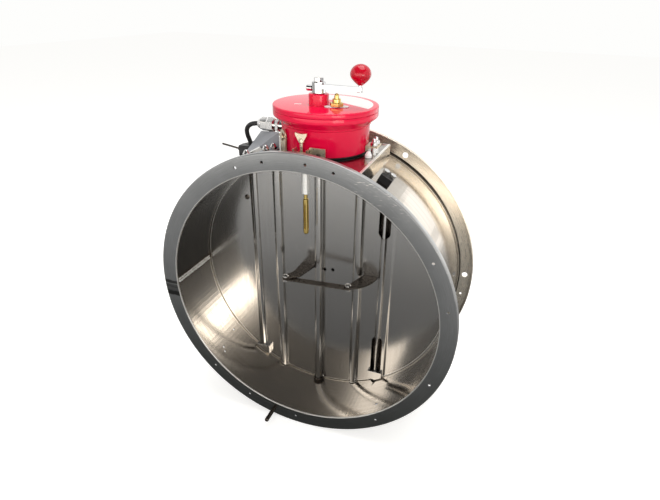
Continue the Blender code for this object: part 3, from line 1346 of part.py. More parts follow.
def build_gland():
    """Cable gland in the drum's side. Returns where the cable leaves it."""
    place = (0, *GLAND_PLACE)
    hex_start = DRUM_LEFT - GLAND_HEX_FROM_DRUM
    hex_end = hex_start - GLAND_HEX_LENGTH
    ring_start = DRUM_LEFT - GLAND_RING_FROM_DRUM
    cable_bore = CABLE_DIAMETER / 2 + FIT
    thread = rod("gland_body", GLAND_THREAD_RADIUS, hex_end + 0.001, DRUM_LEFT + GLAND_THREAD_INSIDE,
                 polished_steel(), 20, at=place, turn=along_x())
    flats = hex_along_x("gland_hex", GLAND_HEX, hex_end, hex_start)
    ring = hex_along_x("gland_lock_ring", GLAND_HEX - 0.002, ring_start - GLAND_RING_LENGTH, ring_start)
    weld(thread, flats, ring)
    near = hex_end - FIT
    far = near - GLAND_NUT_LENGTH
    inside = DRUM_LEFT + 2 * OVERSHOOT
    cut(thread, rod("gland_bore", cable_bore, far - OVERSHOOT, inside, polished_steel(), 16, at=place,
                    turn=along_x()))

    flats_end = near - GLAND_NUT_FLATS
    nut = hex_along_x("gland_nut", GLAND_HEX - 0.001, flats_end, near)
    dome = [
        (0, flats_end + 0.001),
        (GLAND_DOME_RADIUS, flats_end + 0.001),
        (GLAND_DOME_RADIUS, flats_end - 0.002),
        (GLAND_MOUTH_RADIUS, far),
        (0, far),
    ]
    weld(nut, turned("gland_dome", dome, 20, polished_steel(), at=place, turn=along_x()))
    cut(nut, rod("gland_nut_bore", cable_bore, far - OVERSHOOT, inside, polished_steel(), 16,
                 at=place, turn=along_x()))
    return far


def cable_route(gland_mouth):
    """Centre line of the lead, from inside the gland to the top of the end switch."""
    y, z = GLAND_PLACE
    switch_y = SWITCH_PLACE[1]
    top = SWITCH_PLACE[2] + SWITCH_SIZE[2] / 2 + FIT
    high, middle, low = CABLE_ABOVE_SWITCH
    route = [(gland_mouth + CABLE_IN_GLAND, y, z), (gland_mouth, y, z)]
    route += [(gland_mouth - out, y + back, z - drop) for out, back, drop in CABLE_BEND]
    route.append((SWITCH_LEAD_X, switch_y - CABLE_BEND_END_Y, top + high))
    route += [(SWITCH_LEAD_X, switch_y, top + height) for height in (middle, low, 0)]
    return route


def smooth_through(points, per_span=3):
    """Catmull-Rom curve through the given points."""
    ends = [Vector(point) for point in points]
    padded = [2 * ends[0] - ends[1]] + ends + [2 * ends[-1] - ends[-2]]
    line = []
    for index in range(1, len(padded) - 2):
        before, here, there, after = padded[index - 1:index + 3]
        for step in range(per_span):
            t = step / per_span
            line.append(0.5 * (2 * here + (there - before) * t
                               + (2 * before - 5 * here + 4 * there - after) * t ** 2
                               + (3 * here - before - 3 * there + after) * t ** 3))
    line.append(ends[-1])
    return line


def build_cable(gland_mouth):
    curve = bpy.data.curves.new("signal_cable", "CURVE")
    curve.dimensions = "3D"
    curve.bevel_depth = CABLE_DIAMETER / 2
    curve.bevel_resolution = 2
    curve.use_fill_caps = True
    line = smooth_through(cable_route(gland_mouth))
    spline = curve.splines.new("POLY")
    spline.points.add(len(line) - 1)
    for point, place in zip(spline.points, line):
        point.co = (*place, 1.0)
    curve.materials.append(black_rubber())
    cable = bpy.data.objects.new("signal_cable", curve)
    bpy.context.collection.objects.link(cable)


def roofed_prism(name, footprint, lower):
    """An upright prism under the cover's roof plane, moved down by some distance."""
    corner, left, back = Vector(COVER_CORNER), Vector(COVER_LEFT), Vector(COVER_BACK)
    normal = (left - corner).cross(back - corner).normalized()
    bm = bmesh.new()
    floor = [bm.verts.new((x, y, -lower)) for x, y in footprint]
    roof = []
    for x, y in footprint:
        drop = (normal.x * (x - corner.x) + normal.y * (y - corner.y)) / normal.z
        roof.append(bm.verts.new((x, y, corner.z - drop - lower / abs(normal.z))))
    bm.faces.new(floor)
    bm.faces.new(roof)
    for step in range(len(floor)):
        after = (step + 1) % len(floor)
        bm.faces.new((floor[step], floor[after], roof[after], roof[step]))
    return piece(name, bm, grey_paint())


def build_cover():
    """Folded sheet cover left of the drum: front wall, left wall, sloping roof and a foot."""
    corner, left, back = (Vector(point[:2]) for point in (COVER_CORNER, COVER_LEFT, COVER_BACK))
    cover = roofed_prism("wiring_cover", [corner, left, back], 0)
    side = (back - left).normalized()
    into = Vector((side.y, -side.x)) * COVER_SHEET
    front_inner = left.y + COVER_SHEET
    slide = (front_inner - (left + into).y) / side.y
    inner_left = left + into + side * slide
    inner_back = back + into + side * COVER_DEPTH
    inner_right = corner.x + COVER_DEPTH
    hollow = roofed_prism("cover_hollow", [(inner_right, front_inner), inner_left, inner_back,
                                           (inner_right, inner_back.y)], COVER_SHEET)
    duct = round_of_duct("cover_duct_cut", DUCT_RADIUS + FIT)
    box = block("cover_box_cut", (-BOX_HALF_WIDTH - FIT, BOX_FRONT, -OVERSHOOT),
                (BOX_HALF_WIDTH, BOX_BACK, BOX_SEAT), grey_paint())
    cut(cover, hollow, duct, box)
    foot_left = corner.x - COVER_FOOT_WIDTH
    foot_top = BOX_SEAT + COVER_SHEET
    foot = block("cover_foot", (foot_left, corner.y - COVER_FOOT_DEPTH, BOX_SEAT),
                 (corner.x, front_inner - 0.0002, foot_top), grey_paint())
    weld(cover, foot)
    for name, (from_corner, from_front) in zip(("cover_nut_right", "cover_nut_left"), COVER_NUTS):
        dome_nut(name, (corner.x - from_corner, corner.y - from_front), foot_top + FIT)


def build_switch(lever_axis):
    """Small end switch behind the cover, its bracket on the box, and a thin rod lever."""
    place = Vector(SWITCH_PLACE)
    half = Vector(SWITCH_SIZE) / 2
    body = block("end_switch", place - half, place + half, black_plastic())
    edge = body.modifiers.new("edges", "BEVEL")
    edge.width = SWITCH_EDGE
    edge.segments = 1
    weld(body, rod("switch_head", SWITCH_HEAD_RADIUS, SWITCH_HEAD_FACE, place.x - half.x + 0.001,
                   black_plastic(), 14, at=(0, LEVER_PIVOT[1], LEVER_PIVOT[2]), turn=along_x()))
    back = place.y + half.y + FIT
    wall = -BOX_HALF_WIDTH - FIT
    foot = math.sqrt(DUCT_RADIUS ** 2 - wall ** 2) + SWITCH_BRACKET_ABOVE_DUCT
    low = place.z - half.z + 0.002
    outline = [(place.x - half.x, low), (place.x + half.x + 0.004, low), (wall, foot),
               (wall, BOX_UNDER), (wall - SWITCH_BRACKET_NECK, BOX_UNDER),
               (place.x - half.x, place.z + half.z - 0.001)]
    bracket = prism("switch_bracket", outline, -back - BRACKET_SHEET, -back, flange_steel(),
                    turn=along_minus_y())
    leaf = block("switch_bracket_leaf", (wall - BRACKET_SHEET, back + 0.0001, foot + 0.0001),
                 (wall, back + SWITCH_BRACKET_LEAF, BOX_UNDER - 0.0001), flange_steel())
    weld(bracket, leaf)

    tilt = Matrix.Rotation(math.radians(LEVER_TILT), 3, "Y")
    root = [(radius, height) for height, radius in arc((0, 0), LEVER_RADIUS, 90, 0, 4)]
    lever = [(0, -LEVER_LENGTH), (LEVER_TIP_RADIUS, -LEVER_LENGTH),
             (LEVER_RADIUS, -LEVER_LENGTH + 0.0008)]
    turned("switch_lever", lever + root, 10, dark_stainless(), lever_axis, at=LEVER_PIVOT,
           turn=tilt @ along_x())


def build_stop_block():
    """Black stop block on the duct, its two adjusting bolts pointing out from the duct."""
    width, length, height = STOP_SIZE
    seat = DUCT_RADIUS + FIT
    corner_radius = math.hypot(seat, width / 2)
    angle = math.asin((BOX_HALF_WIDTH + STOP_FROM_BOX) / corner_radius) + math.atan(width / 2 / seat)
    turn = Matrix.Rotation(angle, 3, "Y")
    centre = turn @ Vector((0, 0, seat)) + Vector((0, DRUM_CENTRE[1] - STOP_FROM_CENTRE, 0))
    outline = [(-width / 2, -length / 2), (width / 2, -length / 2),
               (width / 2, length / 2), (-width / 2, length / 2)]
    body = prism("stop_block", outline, 0, height, black_plastic(), at=centre, turn=turn)
    low = height + FIT
    for name, offset in (("left", -STOP_BOLT_SPACING / 2), ("right", STOP_BOLT_SPACING / 2)):
        place = centre + turn @ Vector((offset, STOP_BOLT_OFFSET, 0))
        cut(body, rod(f"stop_hole_{name}", STOP_SHANK_RADIUS + FIT, FIT, height + OVERSHOOT,
                      black_plastic(), 12, at=place, turn=turn))
        bolt = piece(f"stop_bolt_{name}", prism_mesh(hexagon(STOP_BOLT_HEX), low, low + STOP_BOLT_HEAD),
                     polished_steel(), None, place, turn)
        weld(bolt, rod(f"stop_shank_{name}", STOP_SHANK_RADIUS, 2 * FIT, low + 0.001,
                       polished_steel(), 12, at=place, turn=turn))


def build_damper():
    clear_scene()
    blade_axis = axis_empty("blade_axis", (0, 0, 0))
    release_axis = axis_empty("release_axis", (*RELEASE_PLACE, DRUM_TOP))
    clamp_axis = axis_empty("clamp_axis", CLAMP_PIVOT)
    wing_axis = axis_empty("wing_axis", CLAMP_PIVOT, clamp_axis)
    lever_axis = axis_empty("lever_axis", LEVER_PIVOT)

    build_duct()
    build_flanges()
    build_bushes()
    build_shaft(blade_axis)
    build_blade(blade_axis)
    build_rods(blade_axis)
    build_straps(blade_axis)
    build_saddle_box()
    build_gasket()
    build_housing()
    build_lid()
    build_drum_works(blade_axis)
    build_link()
    build_crank(blade_axis)
    build_knob(blade_axis)
    build_release(release_axis)
    build_clamp_bracket()
    build_wing_clamp(clamp_axis, wing_axis)
    build_side_bracket()
    build_ear()
    build_box_fasteners()
    gland_mouth = build_gland()
    build_cable(gland_mouth)
    build_cover()
    build_switch(lever_axis)
    build_stop_block()


build_damper()
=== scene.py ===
"""Round butterfly volume damper, dressed for a studio picture. Lengths are in metres."""
import math
import random

import bpy
from mathutils import Matrix, Vector


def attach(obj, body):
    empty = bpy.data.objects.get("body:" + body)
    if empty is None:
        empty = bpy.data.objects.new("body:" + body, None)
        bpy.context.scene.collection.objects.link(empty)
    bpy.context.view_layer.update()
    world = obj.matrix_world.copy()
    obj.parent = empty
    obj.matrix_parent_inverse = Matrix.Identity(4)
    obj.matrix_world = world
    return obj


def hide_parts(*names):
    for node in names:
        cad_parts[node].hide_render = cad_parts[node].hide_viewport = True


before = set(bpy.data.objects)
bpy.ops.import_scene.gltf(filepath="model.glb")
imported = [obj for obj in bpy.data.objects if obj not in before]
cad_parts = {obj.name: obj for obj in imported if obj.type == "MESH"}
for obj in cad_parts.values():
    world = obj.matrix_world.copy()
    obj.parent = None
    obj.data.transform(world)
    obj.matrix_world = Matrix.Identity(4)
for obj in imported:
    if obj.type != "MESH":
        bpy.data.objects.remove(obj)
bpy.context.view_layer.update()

# The duct runs along Y, the blade shaft stands on Z, and they cross at the origin.
BORE = 0.250
WALL = 0.002
FRONT = -0.102
BACK = 0.118
ROUND_STEPS = 176

# End rings. Angles run clockwise from the top, seen from the front.
RING = 0.280
RING_SHEET = 0.0025
RING_OVERLAP = 0.0028
HOLE_CIRCLE = 0.265
RIVET_HOLE = 0.0025
RIVET_ANGLES = (-23, -12, 4, 14, 59, 78, 112, 144, 182, 205, 225)
BACK_RIVET_ANGLE = 98
BOLT_HOLE = 0.0055
BOLT_COUNT = 6
BOLT_FIRST = 28.4
STUD = (-0.0540, -0.2540)
STUD_HOLE = 0.0043

# Holes in the wall: the bearings, the fusible link, and small ones as (x, y, z, radius)
BUSH_HOLE = 0.0103
FUSE = (-0.012, -0.0305)
FUSE_HOLE = 0.0068
WALL_HOLES = ((-0.193, -0.015, -0.159, 0.0020), (-0.187, -0.067, -0.166, 0.0020),
              (-0.181, -0.072, -0.172, 0.0020), (0.149, -0.075, -0.201, 0.0032))

# Weld inside the wall, at the left: a wavy bead on each side of the seam, as (height, radius)
WELD_BEADS = ((0.0024, 0.0013), (-0.0026, 0.0017))
WELD_START = 0.004
WELD_END = 0.006
WELD_RISE = 0.0004
WELD_STEPS = 46
WELD_WAVE = 0.0006

# Blade: its front face, the joggle of its wings, and its pressings as (x, radius, sink).
# The sheet is made BLADE_ROOM wide to each side and then trimmed to BLADE_EDGE.
BLADE_EDGE = 0.2484
BLADE_FACE = 0.0083
BLADE_SHEET = 0.002
BLADE_ROOM = 0.26
JOGGLE = 0.002
JOGGLE_START = 0.139
JOGGLE_END = 0.143
FOLD = 0.0014
LEFT_ROD = -0.1315
RIGHT_ROD = 0.1225
PRESSINGS = ((LEFT_ROD, 0.0058, 0.0004), (-0.0845, 0.0095, 0.0005),
             (0.0755, 0.0095, 0.0005), (RIGHT_ROD, 0.0058, 0.0004))
SLOT_HALF = 0.011
SLOT_START = 0.120
BLADE_HOLES = ((0.0094, 0.0227), (0.0259, 0.0249))
BLADE_HOLE = 0.0034
BLADE_HOLE_Y = 0.010
BLADE_HOLE_DEPTH = 0.0043
NOTCH_RADIUS = 0.013
NOTCH_DEPTH = 0.038
NOTCH_MIDDLE = 0.255
WING_SCREW = (-0.1515, 0.147)
ROD_END = 0.2045
ROD_RADIUS = 0.0035
ROD_Y = 0.0087

SHAFT_BOTTOM = -0.2592
SHAFT_SHOULDER = 0.3700
SHAFT_TOP = 0.3768
SHAFT_RADIUS = 0.0075
TENON_RADIUS = 0.004

# Spring drum, its lid and the ball knob
DRUM = (0.006, 0.017)
DRUM_BOTTOM = 0.262
DRUM_STEPS = 128
LID_TOP = 0.334
LID_RADIUS = 0.0880
BOSS_RADIUS = 0.0165
BOSS_TOP = 0.352
SHAFT_HOLE = 0.0078
GLAND_PLACE = (-0.07, 0.012, 0.290)
GLAND_HOLE = 0.0083
RELEASE_PLACE = (0.033, -0.006, LID_TOP)
RELEASE_HOLE = 0.0060
KNOB_X = 0.0695
KNOB_BOTTOM = 0.3668
KNOB_HEIGHT = 0.034
KNOB_RADIUS = 0.0165
KNOB_WIDEST = 0.56
KNOB_STEPS = 24
KNOB_HOLE = 0.0033
KNOB_HOLE_MIDDLE = 0.3710
KNOB_HOLE_DEPTH = 0.0230

FLOOR = -0.2803


# Modelling by hand, in edit mode

def deselect():
    if bpy.context.object and bpy.context.object.mode != "OBJECT":
        bpy.ops.object.mode_set(mode="OBJECT")
    bpy.ops.object.select_all(action="DESELECT")


def choose(piece):
    deselect()
    piece.select_set(True)
    bpy.context.view_layer.objects.active = piece


def settle(piece):
    """Put the piece's place, turn and size into its mesh."""
    choose(piece)
    bpy.ops.object.transform_apply(location=True, rotation=True, scale=True)
    return piece


def apply_modifiers(piece):
    choose(piece)
    for step in list(piece.modifiers):
        bpy.ops.object.modifier_apply(modifier=step.name)


def smooth(piece, degrees=35):
    choose(piece)
    bpy.ops.object.shade_smooth_by_angle(angle=math.radians(degrees))
    return piece


def draw(name, points, closed):
    """A chain of vertices drawn by extruding one point along a line, left in edit mode."""
    deselect()
    bpy.ops.mesh.primitive_plane_add(size=0.001, location=(0, 0, 0))
    piece = bpy.context.object
    piece.name = name
    piece.data.name = name
    bpy.ops.object.mode_set(mode="EDIT")
    bpy.ops.mesh.select_mode(type="VERT")
    bpy.ops.mesh.select_all(action="SELECT")
    bpy.ops.mesh.merge(type="CENTER")
    start = Vector(points[0])
    bpy.ops.transform.translate(value=start)
    for point in points[1:]:
        bpy.ops.mesh.extrude_region_move(TRANSFORM_OT_translate={"value": Vector(point) - start})
        start = Vector(point)
    bpy.ops.mesh.select_all(action="SELECT")
    if closed:
        bpy.ops.object.mode_set(mode="OBJECT")
        last = len(piece.data.vertices) - 1
        for vertex in piece.data.vertices:
            vertex.select = vertex.index in (0, last)
        bpy.ops.object.mode_set(mode="EDIT")
        bpy.ops.mesh.edge_face_add()
        bpy.ops.mesh.select_all(action="SELECT")
    return piece


def face_out():
    """Close the seams and turn every face outward, then leave edit mode."""
    bpy.ops.mesh.select_all(action="SELECT")
    bpy.ops.mesh.remove_doubles(threshold=0.000002)
    bpy.ops.mesh.select_all(action="SELECT")
    bpy.ops.mesh.normals_make_consistent(inside=False)
    bpy.ops.object.mode_set(mode="OBJECT")


def turn_piece(name, outline, steps, axis="Z", centre=(0.0, 0.0, 0.0), closed=True):
    """Spin an outline of (radius, height along the axis) round the Z or Y axis, as on a lathe."""
    if axis == "Z":
        points, line = [(r, 0, h) for r, h in outline], (0, 0, 1)
    else:
        points, line = [(r, h, 0) for r, h in outline], (0, 1, 0)
    piece = draw(name, points, closed)
    bpy.ops.mesh.spin(steps=steps, angle=math.tau, center=(0, 0, 0), axis=line)
    face_out()
    piece.location = centre
    return smooth(settle(piece))


def slab(name, outline, low, high):
    """Extrude a closed flat outline of (x, z) along Y."""
    piece = draw(name, [(x, low, z) for x, z in outline], True)
    bpy.ops.mesh.edge_face_add()
    bpy.ops.mesh.extrude_region_move(TRANSFORM_OT_translate={"value": (0, high - low, 0)})
    face_out()
    return piece


def arc(centre, radius, start, end, steps):
    turns = [math.radians(start + (end - start) * i / steps) for i in range(steps + 1)]
    return [(centre[0] + radius * math.cos(turn), centre[1] + radius * math.sin(turn))
            for turn in turns]


def soften(outline, radii, steps=4, closed=True):
    """Round the corners of an outline, with one radius for each corner."""
    made = []
    count = len(outline)
    for i, (point, radius) in enumerate(zip(outline, radii)):
        here = Vector(point)
        if radius <= 0 or (not closed and i in (0, count - 1)):
            made.append(tuple(here))
            continue
        before = Vector(outline[i - 1]) - here
        after = Vector(outline[(i + 1) % count]) - here
        reach = min(radius, 0.45 * before.length, 0.45 * after.length)
        first = here + before.normalized() * reach
        second = here + after.normalized() * reach
        for step in range(steps + 1):
            t = step / steps
            made.append(tuple(first.lerp(here, t).lerp(here.lerp(second, t), t)))
    return made


def bevel(piece, width, degrees=32):
    """Ease the sharp edges and keep the flat faces level in the shading."""
    step = piece.modifiers.new("edges", "BEVEL")
    step.width = width
    step.segments = 2
    step.limit_method = "ANGLE"
    step.angle_limit = math.radians(degrees)
    apply_modifiers(piece)
    smooth(piece)
    level = piece.modifiers.new("level_faces", "WEIGHTED_NORMAL")
    level.keep_sharp = True
    apply_modifiers(piece)


def combine(piece, operation, *tools):
    """Cut the tools away from a piece, keep what lies inside them, or join them to it."""
    for tool in tools:
        step = piece.modifiers.new("shape", "BOOLEAN")
        step.operation = operation
        step.solver = "EXACT"
        step.object = tool
    apply_modifiers(piece)
    for tool in tools:
        bpy.data.objects.remove(tool, do_unlink=True)


def drill_bit(place, radius, length, axis="Y", sides=32):
    quarter = math.radians(90)
    turns = {"X": (0, quarter, 0), "Y": (quarter, 0, 0), "Z": (0, 0, 0)}
    deselect()
    bpy.ops.mesh.primitive_cylinder_add(vertices=sides, radius=radius, depth=length,
                                        location=place, rotation=turns[axis])
    return bpy.context.object


def wall_bit(x, y, z, radius):
    """A drill that goes through the duct wall towards its centre line."""
    tool = drill_bit((x, y, z), radius, 0.012, "Z", 20)
    tool.rotation_euler = (0, math.atan2(x, z), 0)
    return settle(tool)


def refine(node, width):
    """A copy of a frame node with its facets merged and its edges eased."""
    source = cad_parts[node]
    mesh = source.data.copy()
    mesh.name = node + "_eased"
    piece = bpy.data.objects.new(node + "_eased", mesh)
    bpy.context.collection.objects.link(piece)
    piece.matrix_world = source.matrix_world
    settle(piece)
    bpy.ops.object.mode_set(mode="EDIT")
    bpy.ops.mesh.select_all(action="SELECT")
    bpy.ops.mesh.remove_doubles(threshold=0.000002)
    bpy.ops.mesh.dissolve_limited(angle_limit=math.radians(1.0))
    bpy.ops.object.mode_set(mode="OBJECT")
    if width:
        bevel(piece, width)
    else:
        smooth(piece)
    return piece


def add_on(piece, body, finish):
    piece.data.materials.clear()
    piece.data.materials.append(finish.made)
    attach(piece, body)


def stand_for(piece, body, finish, node):
    add_on(piece, body, finish)
    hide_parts(node)


# Shader networks

class Network:
    """Short ways to add and join nodes in a tree. Its patterns are laid out over place."""

    def __init__(self, tree, place=None):
        self.nodes = tree.nodes
        self.links = tree.links
        self.place = place

    def fill(self, socket, value):
        if hasattr(value, "is_output"):
            self.links.new(value, socket)
        elif socket.type == "RGBA":
            socket.default_value = (*value, 1.0)
        else:
            socket.default_value = value

    def node(self, kind, **inputs):
        made = self.nodes.new(kind)
        for name, value in inputs.items():
            self.fill(made.inputs[name.replace("_", " ")], value)
        return made

    def group(self, tree, **inputs):
        made = self.nodes.new("ShaderNodeGroup")
        made.node_tree = tree
        self.fill(made.inputs["Place"], self.place)
        for name, value in inputs.items():
            self.fill(made.inputs[name.replace("_", " ")], value)
        return made.outputs

    def vector(self, operation, first, second=(0, 0, 0)):
        """Vector maths: gives a vector, or a number for LENGTH."""
        made = self.nodes.new("ShaderNodeVectorMath")
        made.operation = operation
        self.fill(made.inputs[0], first)
        self.fill(made.inputs[1], second)
        return made.outputs["Value" if operation == "LENGTH" else "Vector"]

    def maths(self, operation, first, second=0.0):
        made = self.nodes.new("ShaderNodeMath")
        made.operation = operation
        self.fill(made.inputs[0], first)
        self.fill(made.inputs[1], second)
        return made.outputs[0]

    def product(self, first, *others):
        for other in others:
            first = self.maths("MULTIPLY", first, other)
        return first

    def mix(self, factor, first, second):
        made = self.nodes.new("ShaderNodeMix")
        made.data_type = "RGBA"
        self.fill(made.inputs["Factor"], factor)
        self.fill(made.inputs[6], first)
        self.fill(made.inputs[7], second)
        return made.outputs[2]

    def span(self, value, low, high, out_low=0.0, out_high=1.0, ease="SMOOTHSTEP"):
        """Map low to high, either way round, onto the two out values."""
        made = self.nodes.new("ShaderNodeMapRange")
        made.interpolation_type = ease
        for name, number in (("Value", value), ("From Min", low), ("From Max", high),
                             ("To Min", out_low), ("To Max", out_high)):
            self.fill(made.inputs[name], number)
        return made.outputs["Result"]

    def near(self, value, centre, inner, outer):
        """1 while a value is within inner of the centre, fading to 0 at outer."""
        reach = self.maths("ABSOLUTE", self.maths("SUBTRACT", value, centre))
        return self.span(reach, inner, outer, 1.0, 0.0)

    def spot(self, centre, inner, outer, place=None):
        """1 inside a ball round a place, fading to 0."""
        reach = self.vector("LENGTH", self.vector("SUBTRACT", place or self.place, centre))
        return self.span(reach, inner, outer, 1.0, 0.0)

    def noise(self, scale, detail=3.0, rough=0.6, place=None):
        return self.node("ShaderNodeTexNoise", Vector=place or self.place, Scale=scale,
                         Detail=detail, Roughness=rough).outputs["Fac"]

    def streaks(self, stretch, detail=4.0):
        """Noise stretched by its own count of waves per metre along each axis."""
        return self.noise(1.0, detail, 0.5, self.vector("MULTIPLY", self.place, stretch))

    def xyz(self, place=None):
        return self.node("ShaderNodeSeparateXYZ", Vector=place or self.place).outputs


class Finish(Network):
    """A material with a Principled shader, laid out over its piece's own coordinates."""

    def __init__(self, name, **values):
        self.made = bpy.data.materials.new(name)
        self.made.use_nodes = True
        tree = self.made.node_tree
        self.shader = tree.nodes["Principled BSDF"]
        super().__init__(tree, tree.nodes.new("ShaderNodeTexCoord").outputs["Object"])
        for label, value in values.items():
            self.shader.inputs[label.replace("_", " ")].default_value = value

    def wear(self, colour, roughness, height, strength, distance):
        self.fill(self.shader.inputs["Base Color"], colour)
        self.fill(self.shader.inputs["Roughness"], roughness)
        bump = self.node("ShaderNodeBump", Strength=strength, Distance=distance, Height=height)
        self.fill(self.shader.inputs["Normal"], bump.outputs["Normal"])


def effect(name, outputs, build, **inputs):
    """A shader node group with a Place input and vector inputs. build gives its outputs."""
    tree = bpy.data.node_groups.new(name, "ShaderNodeTree")
    tree.interface.new_socket("Place", in_out="INPUT", socket_type="NodeSocketVector")
    for label, value in inputs.items():
        socket = tree.interface.new_socket(label, in_out="INPUT", socket_type="NodeSocketVector")
        socket.default_value = value
    for label in outputs:
        tree.interface.new_socket(label, in_out="OUTPUT", socket_type="NodeSocketFloat")
    start = tree.nodes.new("NodeGroupInput")
    end = tree.nodes.new("NodeGroupOutput")
    for label, value in zip(outputs, build(Network(tree, start.outputs["Place"]), start.outputs)):
        tree.links.new(value, end.inputs[label])
    return tree


def grain_network(net, given):
    streaks = net.span(net.streaks(given["Stretch"]), 0.3, 0.7)
    smudges = net.span(net.noise(9.0, 3.0, 0.5), 0.35, 0.7)
    return streaks, net.product(net.maths("ADD", streaks, smudges), 0.5)


def duct_distance(net):
    return net.vector("LENGTH", net.vector("MULTIPLY", net.place, (1, 0, 1)))


def radius_network(net, given):
    return (duct_distance(net),)


def turned_network(net, given):
    axes = net.xyz()
    angle = net.maths("ARCTAN2", axes["X"], axes["Z"])
    round_place = net.node("ShaderNodeCombineXYZ", X=net.product(duct_distance(net), 1500.0),
                           Y=net.product(angle, 7.0))
    lines = net.noise(1.0, 4.0, 0.5, round_place.outputs[0])
    return net.span(lines, 0.32, 0.68), net.span(net.noise(16, 5.0), 0.3, 0.75)


def paint_network(net, given):
    return (net.noise(380, 2.0), net.span(net.noise(60, 5.0), 0.55, 0.8),
            net.span(net.noise(14), 0.3, 0.7))


# Rolled grain: parallel streaks, and a blend of streaks and broad smudges
GRAIN = effect("rolled_grain", ("Streaks", "Blend"), grain_network, Stretch=(900, 900, 12))
# Distance from the duct's centre line
DUCT_RADIUS = effect("duct_radius", ("Radius",), radius_network)
# Fine lines round the duct's centre line, and clouds
TURNED = effect("turned_lines", ("Lines", "Clouds"), turned_network)
# Orange peel, settled dust and uneven gloss
PAINT = effect("paint_wear", ("Peel", "Dust", "Gloss"), paint_network)


# Finishes

def steel_finish(name, colour, dark, low_rough, high_rough, stretch, metallic=1.0, relief=0.05):
    made = Finish(name, Metallic=metallic)
    grain = made.group(GRAIN, Stretch=stretch)
    made.wear(made.mix(grain["Blend"], colour, dark),
              made.span(grain["Blend"], 0.0, 1.0, low_rough, high_rough),
              grain["Streaks"], relief, 0.0003)
    return made


def paint_finish(name, colour, rough, specks=0.02):
    made = Finish(name)
    paint = made.group(PAINT)
    made.wear(made.mix(made.product(paint["Dust"], specks), colour, (0.7, 0.66, 0.62)),
              made.span(paint["Gloss"], 0.0, 1.0, rough * 0.85, rough * 1.2, "LINEAR"),
              paint["Peel"], 0.035, 0.0004)
    return made


def ring_finish(name, colour, dark, low_rough, high_rough, marks):
    """Turned end ring with painted shade that darkens it towards the floor. marks gives it its
    local colours, painted light among them.
    """
    made = Finish(name, Metallic=0.9)
    radius = made.group(DUCT_RADIUS)["Radius"]
    turned = made.group(TURNED)
    tone = made.mix(made.product(turned["Lines"], 0.5), colour, dark)
    tone = made.mix(made.product(turned["Clouds"], 0.45), tone, dark)
    # Painted shade: the ring darkens towards the bottom, standing in for the floor's shadow seen in
    # it.
    low = made.span(made.xyz()["Z"], 0.08, -0.26)
    tone = made.mix(made.product(low, 0.72), tone, (0.050, 0.055, 0.050))
    made.wear(marks(made, tone, radius),
              made.span(turned["Lines"], 0.0, 1.0, low_rough, high_rough),
              turned["Lines"], 0.05, 0.0002)
    return made


def front_marks_and_highlights(made, tone, radius):
    """A painted highlight in streaks at the upper right, burn stripes at the left and painted
    highlights on the edges.
    """
    axes = made.xyz()
    # Painted highlight: a lighter streaked patch at the ring's upper right.
    upper_right_highlight = made.product(made.span(made.streaks((90, 90, 700), 5.0), 0.60, 0.72),
                          made.spot((0.135, FRONT, 0.225), 0.02, 0.085))
    tone = made.mix(upper_right_highlight, tone, (0.72, 0.70, 0.66))
    burnt_side = made.span(axes["X"], -0.235, -0.250)
    wavy_height = made.maths("ADD", axes["Z"], made.product(made.noise(90, 2.0), 0.006))
    for height, width, depth in ((-0.001, 0.0050, 0.85), (-0.010, 0.0045, 0.60),
                                 (-0.026, 0.0065, 0.95), (-0.017, 0.0080, 0.55)):
        stripe = made.near(wavy_height, height, width * 0.45, width)
        tone = made.mix(made.product(stripe, burnt_side, depth), tone, (0.018, 0.017, 0.017))
    # Painted highlights: the inner and outer edges of the ring are lightened.
    inner = made.span(radius, 0.2520, 0.2508)
    outer = made.product(made.span(radius, 0.2790, 0.2798), 0.35)
    return made.mix(made.maths("MAXIMUM", inner, outer), tone, (0.80, 0.79, 0.77))


def back_joint_shade(made, tone, radius):
    """Painted shade at the join between the ring's neck and the duct."""
    # Painted shade: a near-black band where the neck meets the duct.
    neck_shade = made.product(made.span(radius, 0.2535, 0.2541), made.span(radius, 0.2562, 0.2553))
    return made.mix(neck_shade, tone, (0.030, 0.024, 0.018))


def wall_finish():
    """Duct wall: rolled steel, a painted dark reflection on the inside above the seam, painted
    shade on the outside towards the bottom, and brown weld heat beside the seam.
    """
    made = Finish("duct_stainless", Metallic=1.0)
    axes = made.xyz()
    x, z = axes["X"], axes["Z"]
    radius = made.group(DUCT_RADIUS)["Radius"]
    grain = made.group(GRAIN, Stretch=(9, 260, 9))
    inside = made.span(radius, 0.2513, 0.2507)
    # Painted shade: the outside of the wall darkens from z 0.20 downwards.
    outside = made.product(made.span(radius, 0.2512, 0.2518), made.span(z, 0.20, 0.02))
    # Painted dark reflection: the inside of the wall above the seam is darkened.
    upper = made.product(made.span(z, -0.003, 0.004), inside)
    heat = made.product(made.near(z, 0.0, 0.002, 0.016), made.span(x, -0.20, -0.245), inside)
    tone = made.mix(grain["Blend"], (0.60, 0.555, 0.50), (0.50, 0.455, 0.40))
    tone = made.mix(made.product(upper, 0.76), tone, (0.075, 0.072, 0.066))
    tone = made.mix(made.product(outside, 0.85), tone, (0.24, 0.215, 0.19))
    tone = made.mix(made.product(heat, 0.6), tone, (0.16, 0.11, 0.07))
    made.wear(tone, made.span(grain["Blend"], 0.0, 1.0, 0.11, 0.20),
              grain["Streaks"], 0.025, 0.0003)
    return made


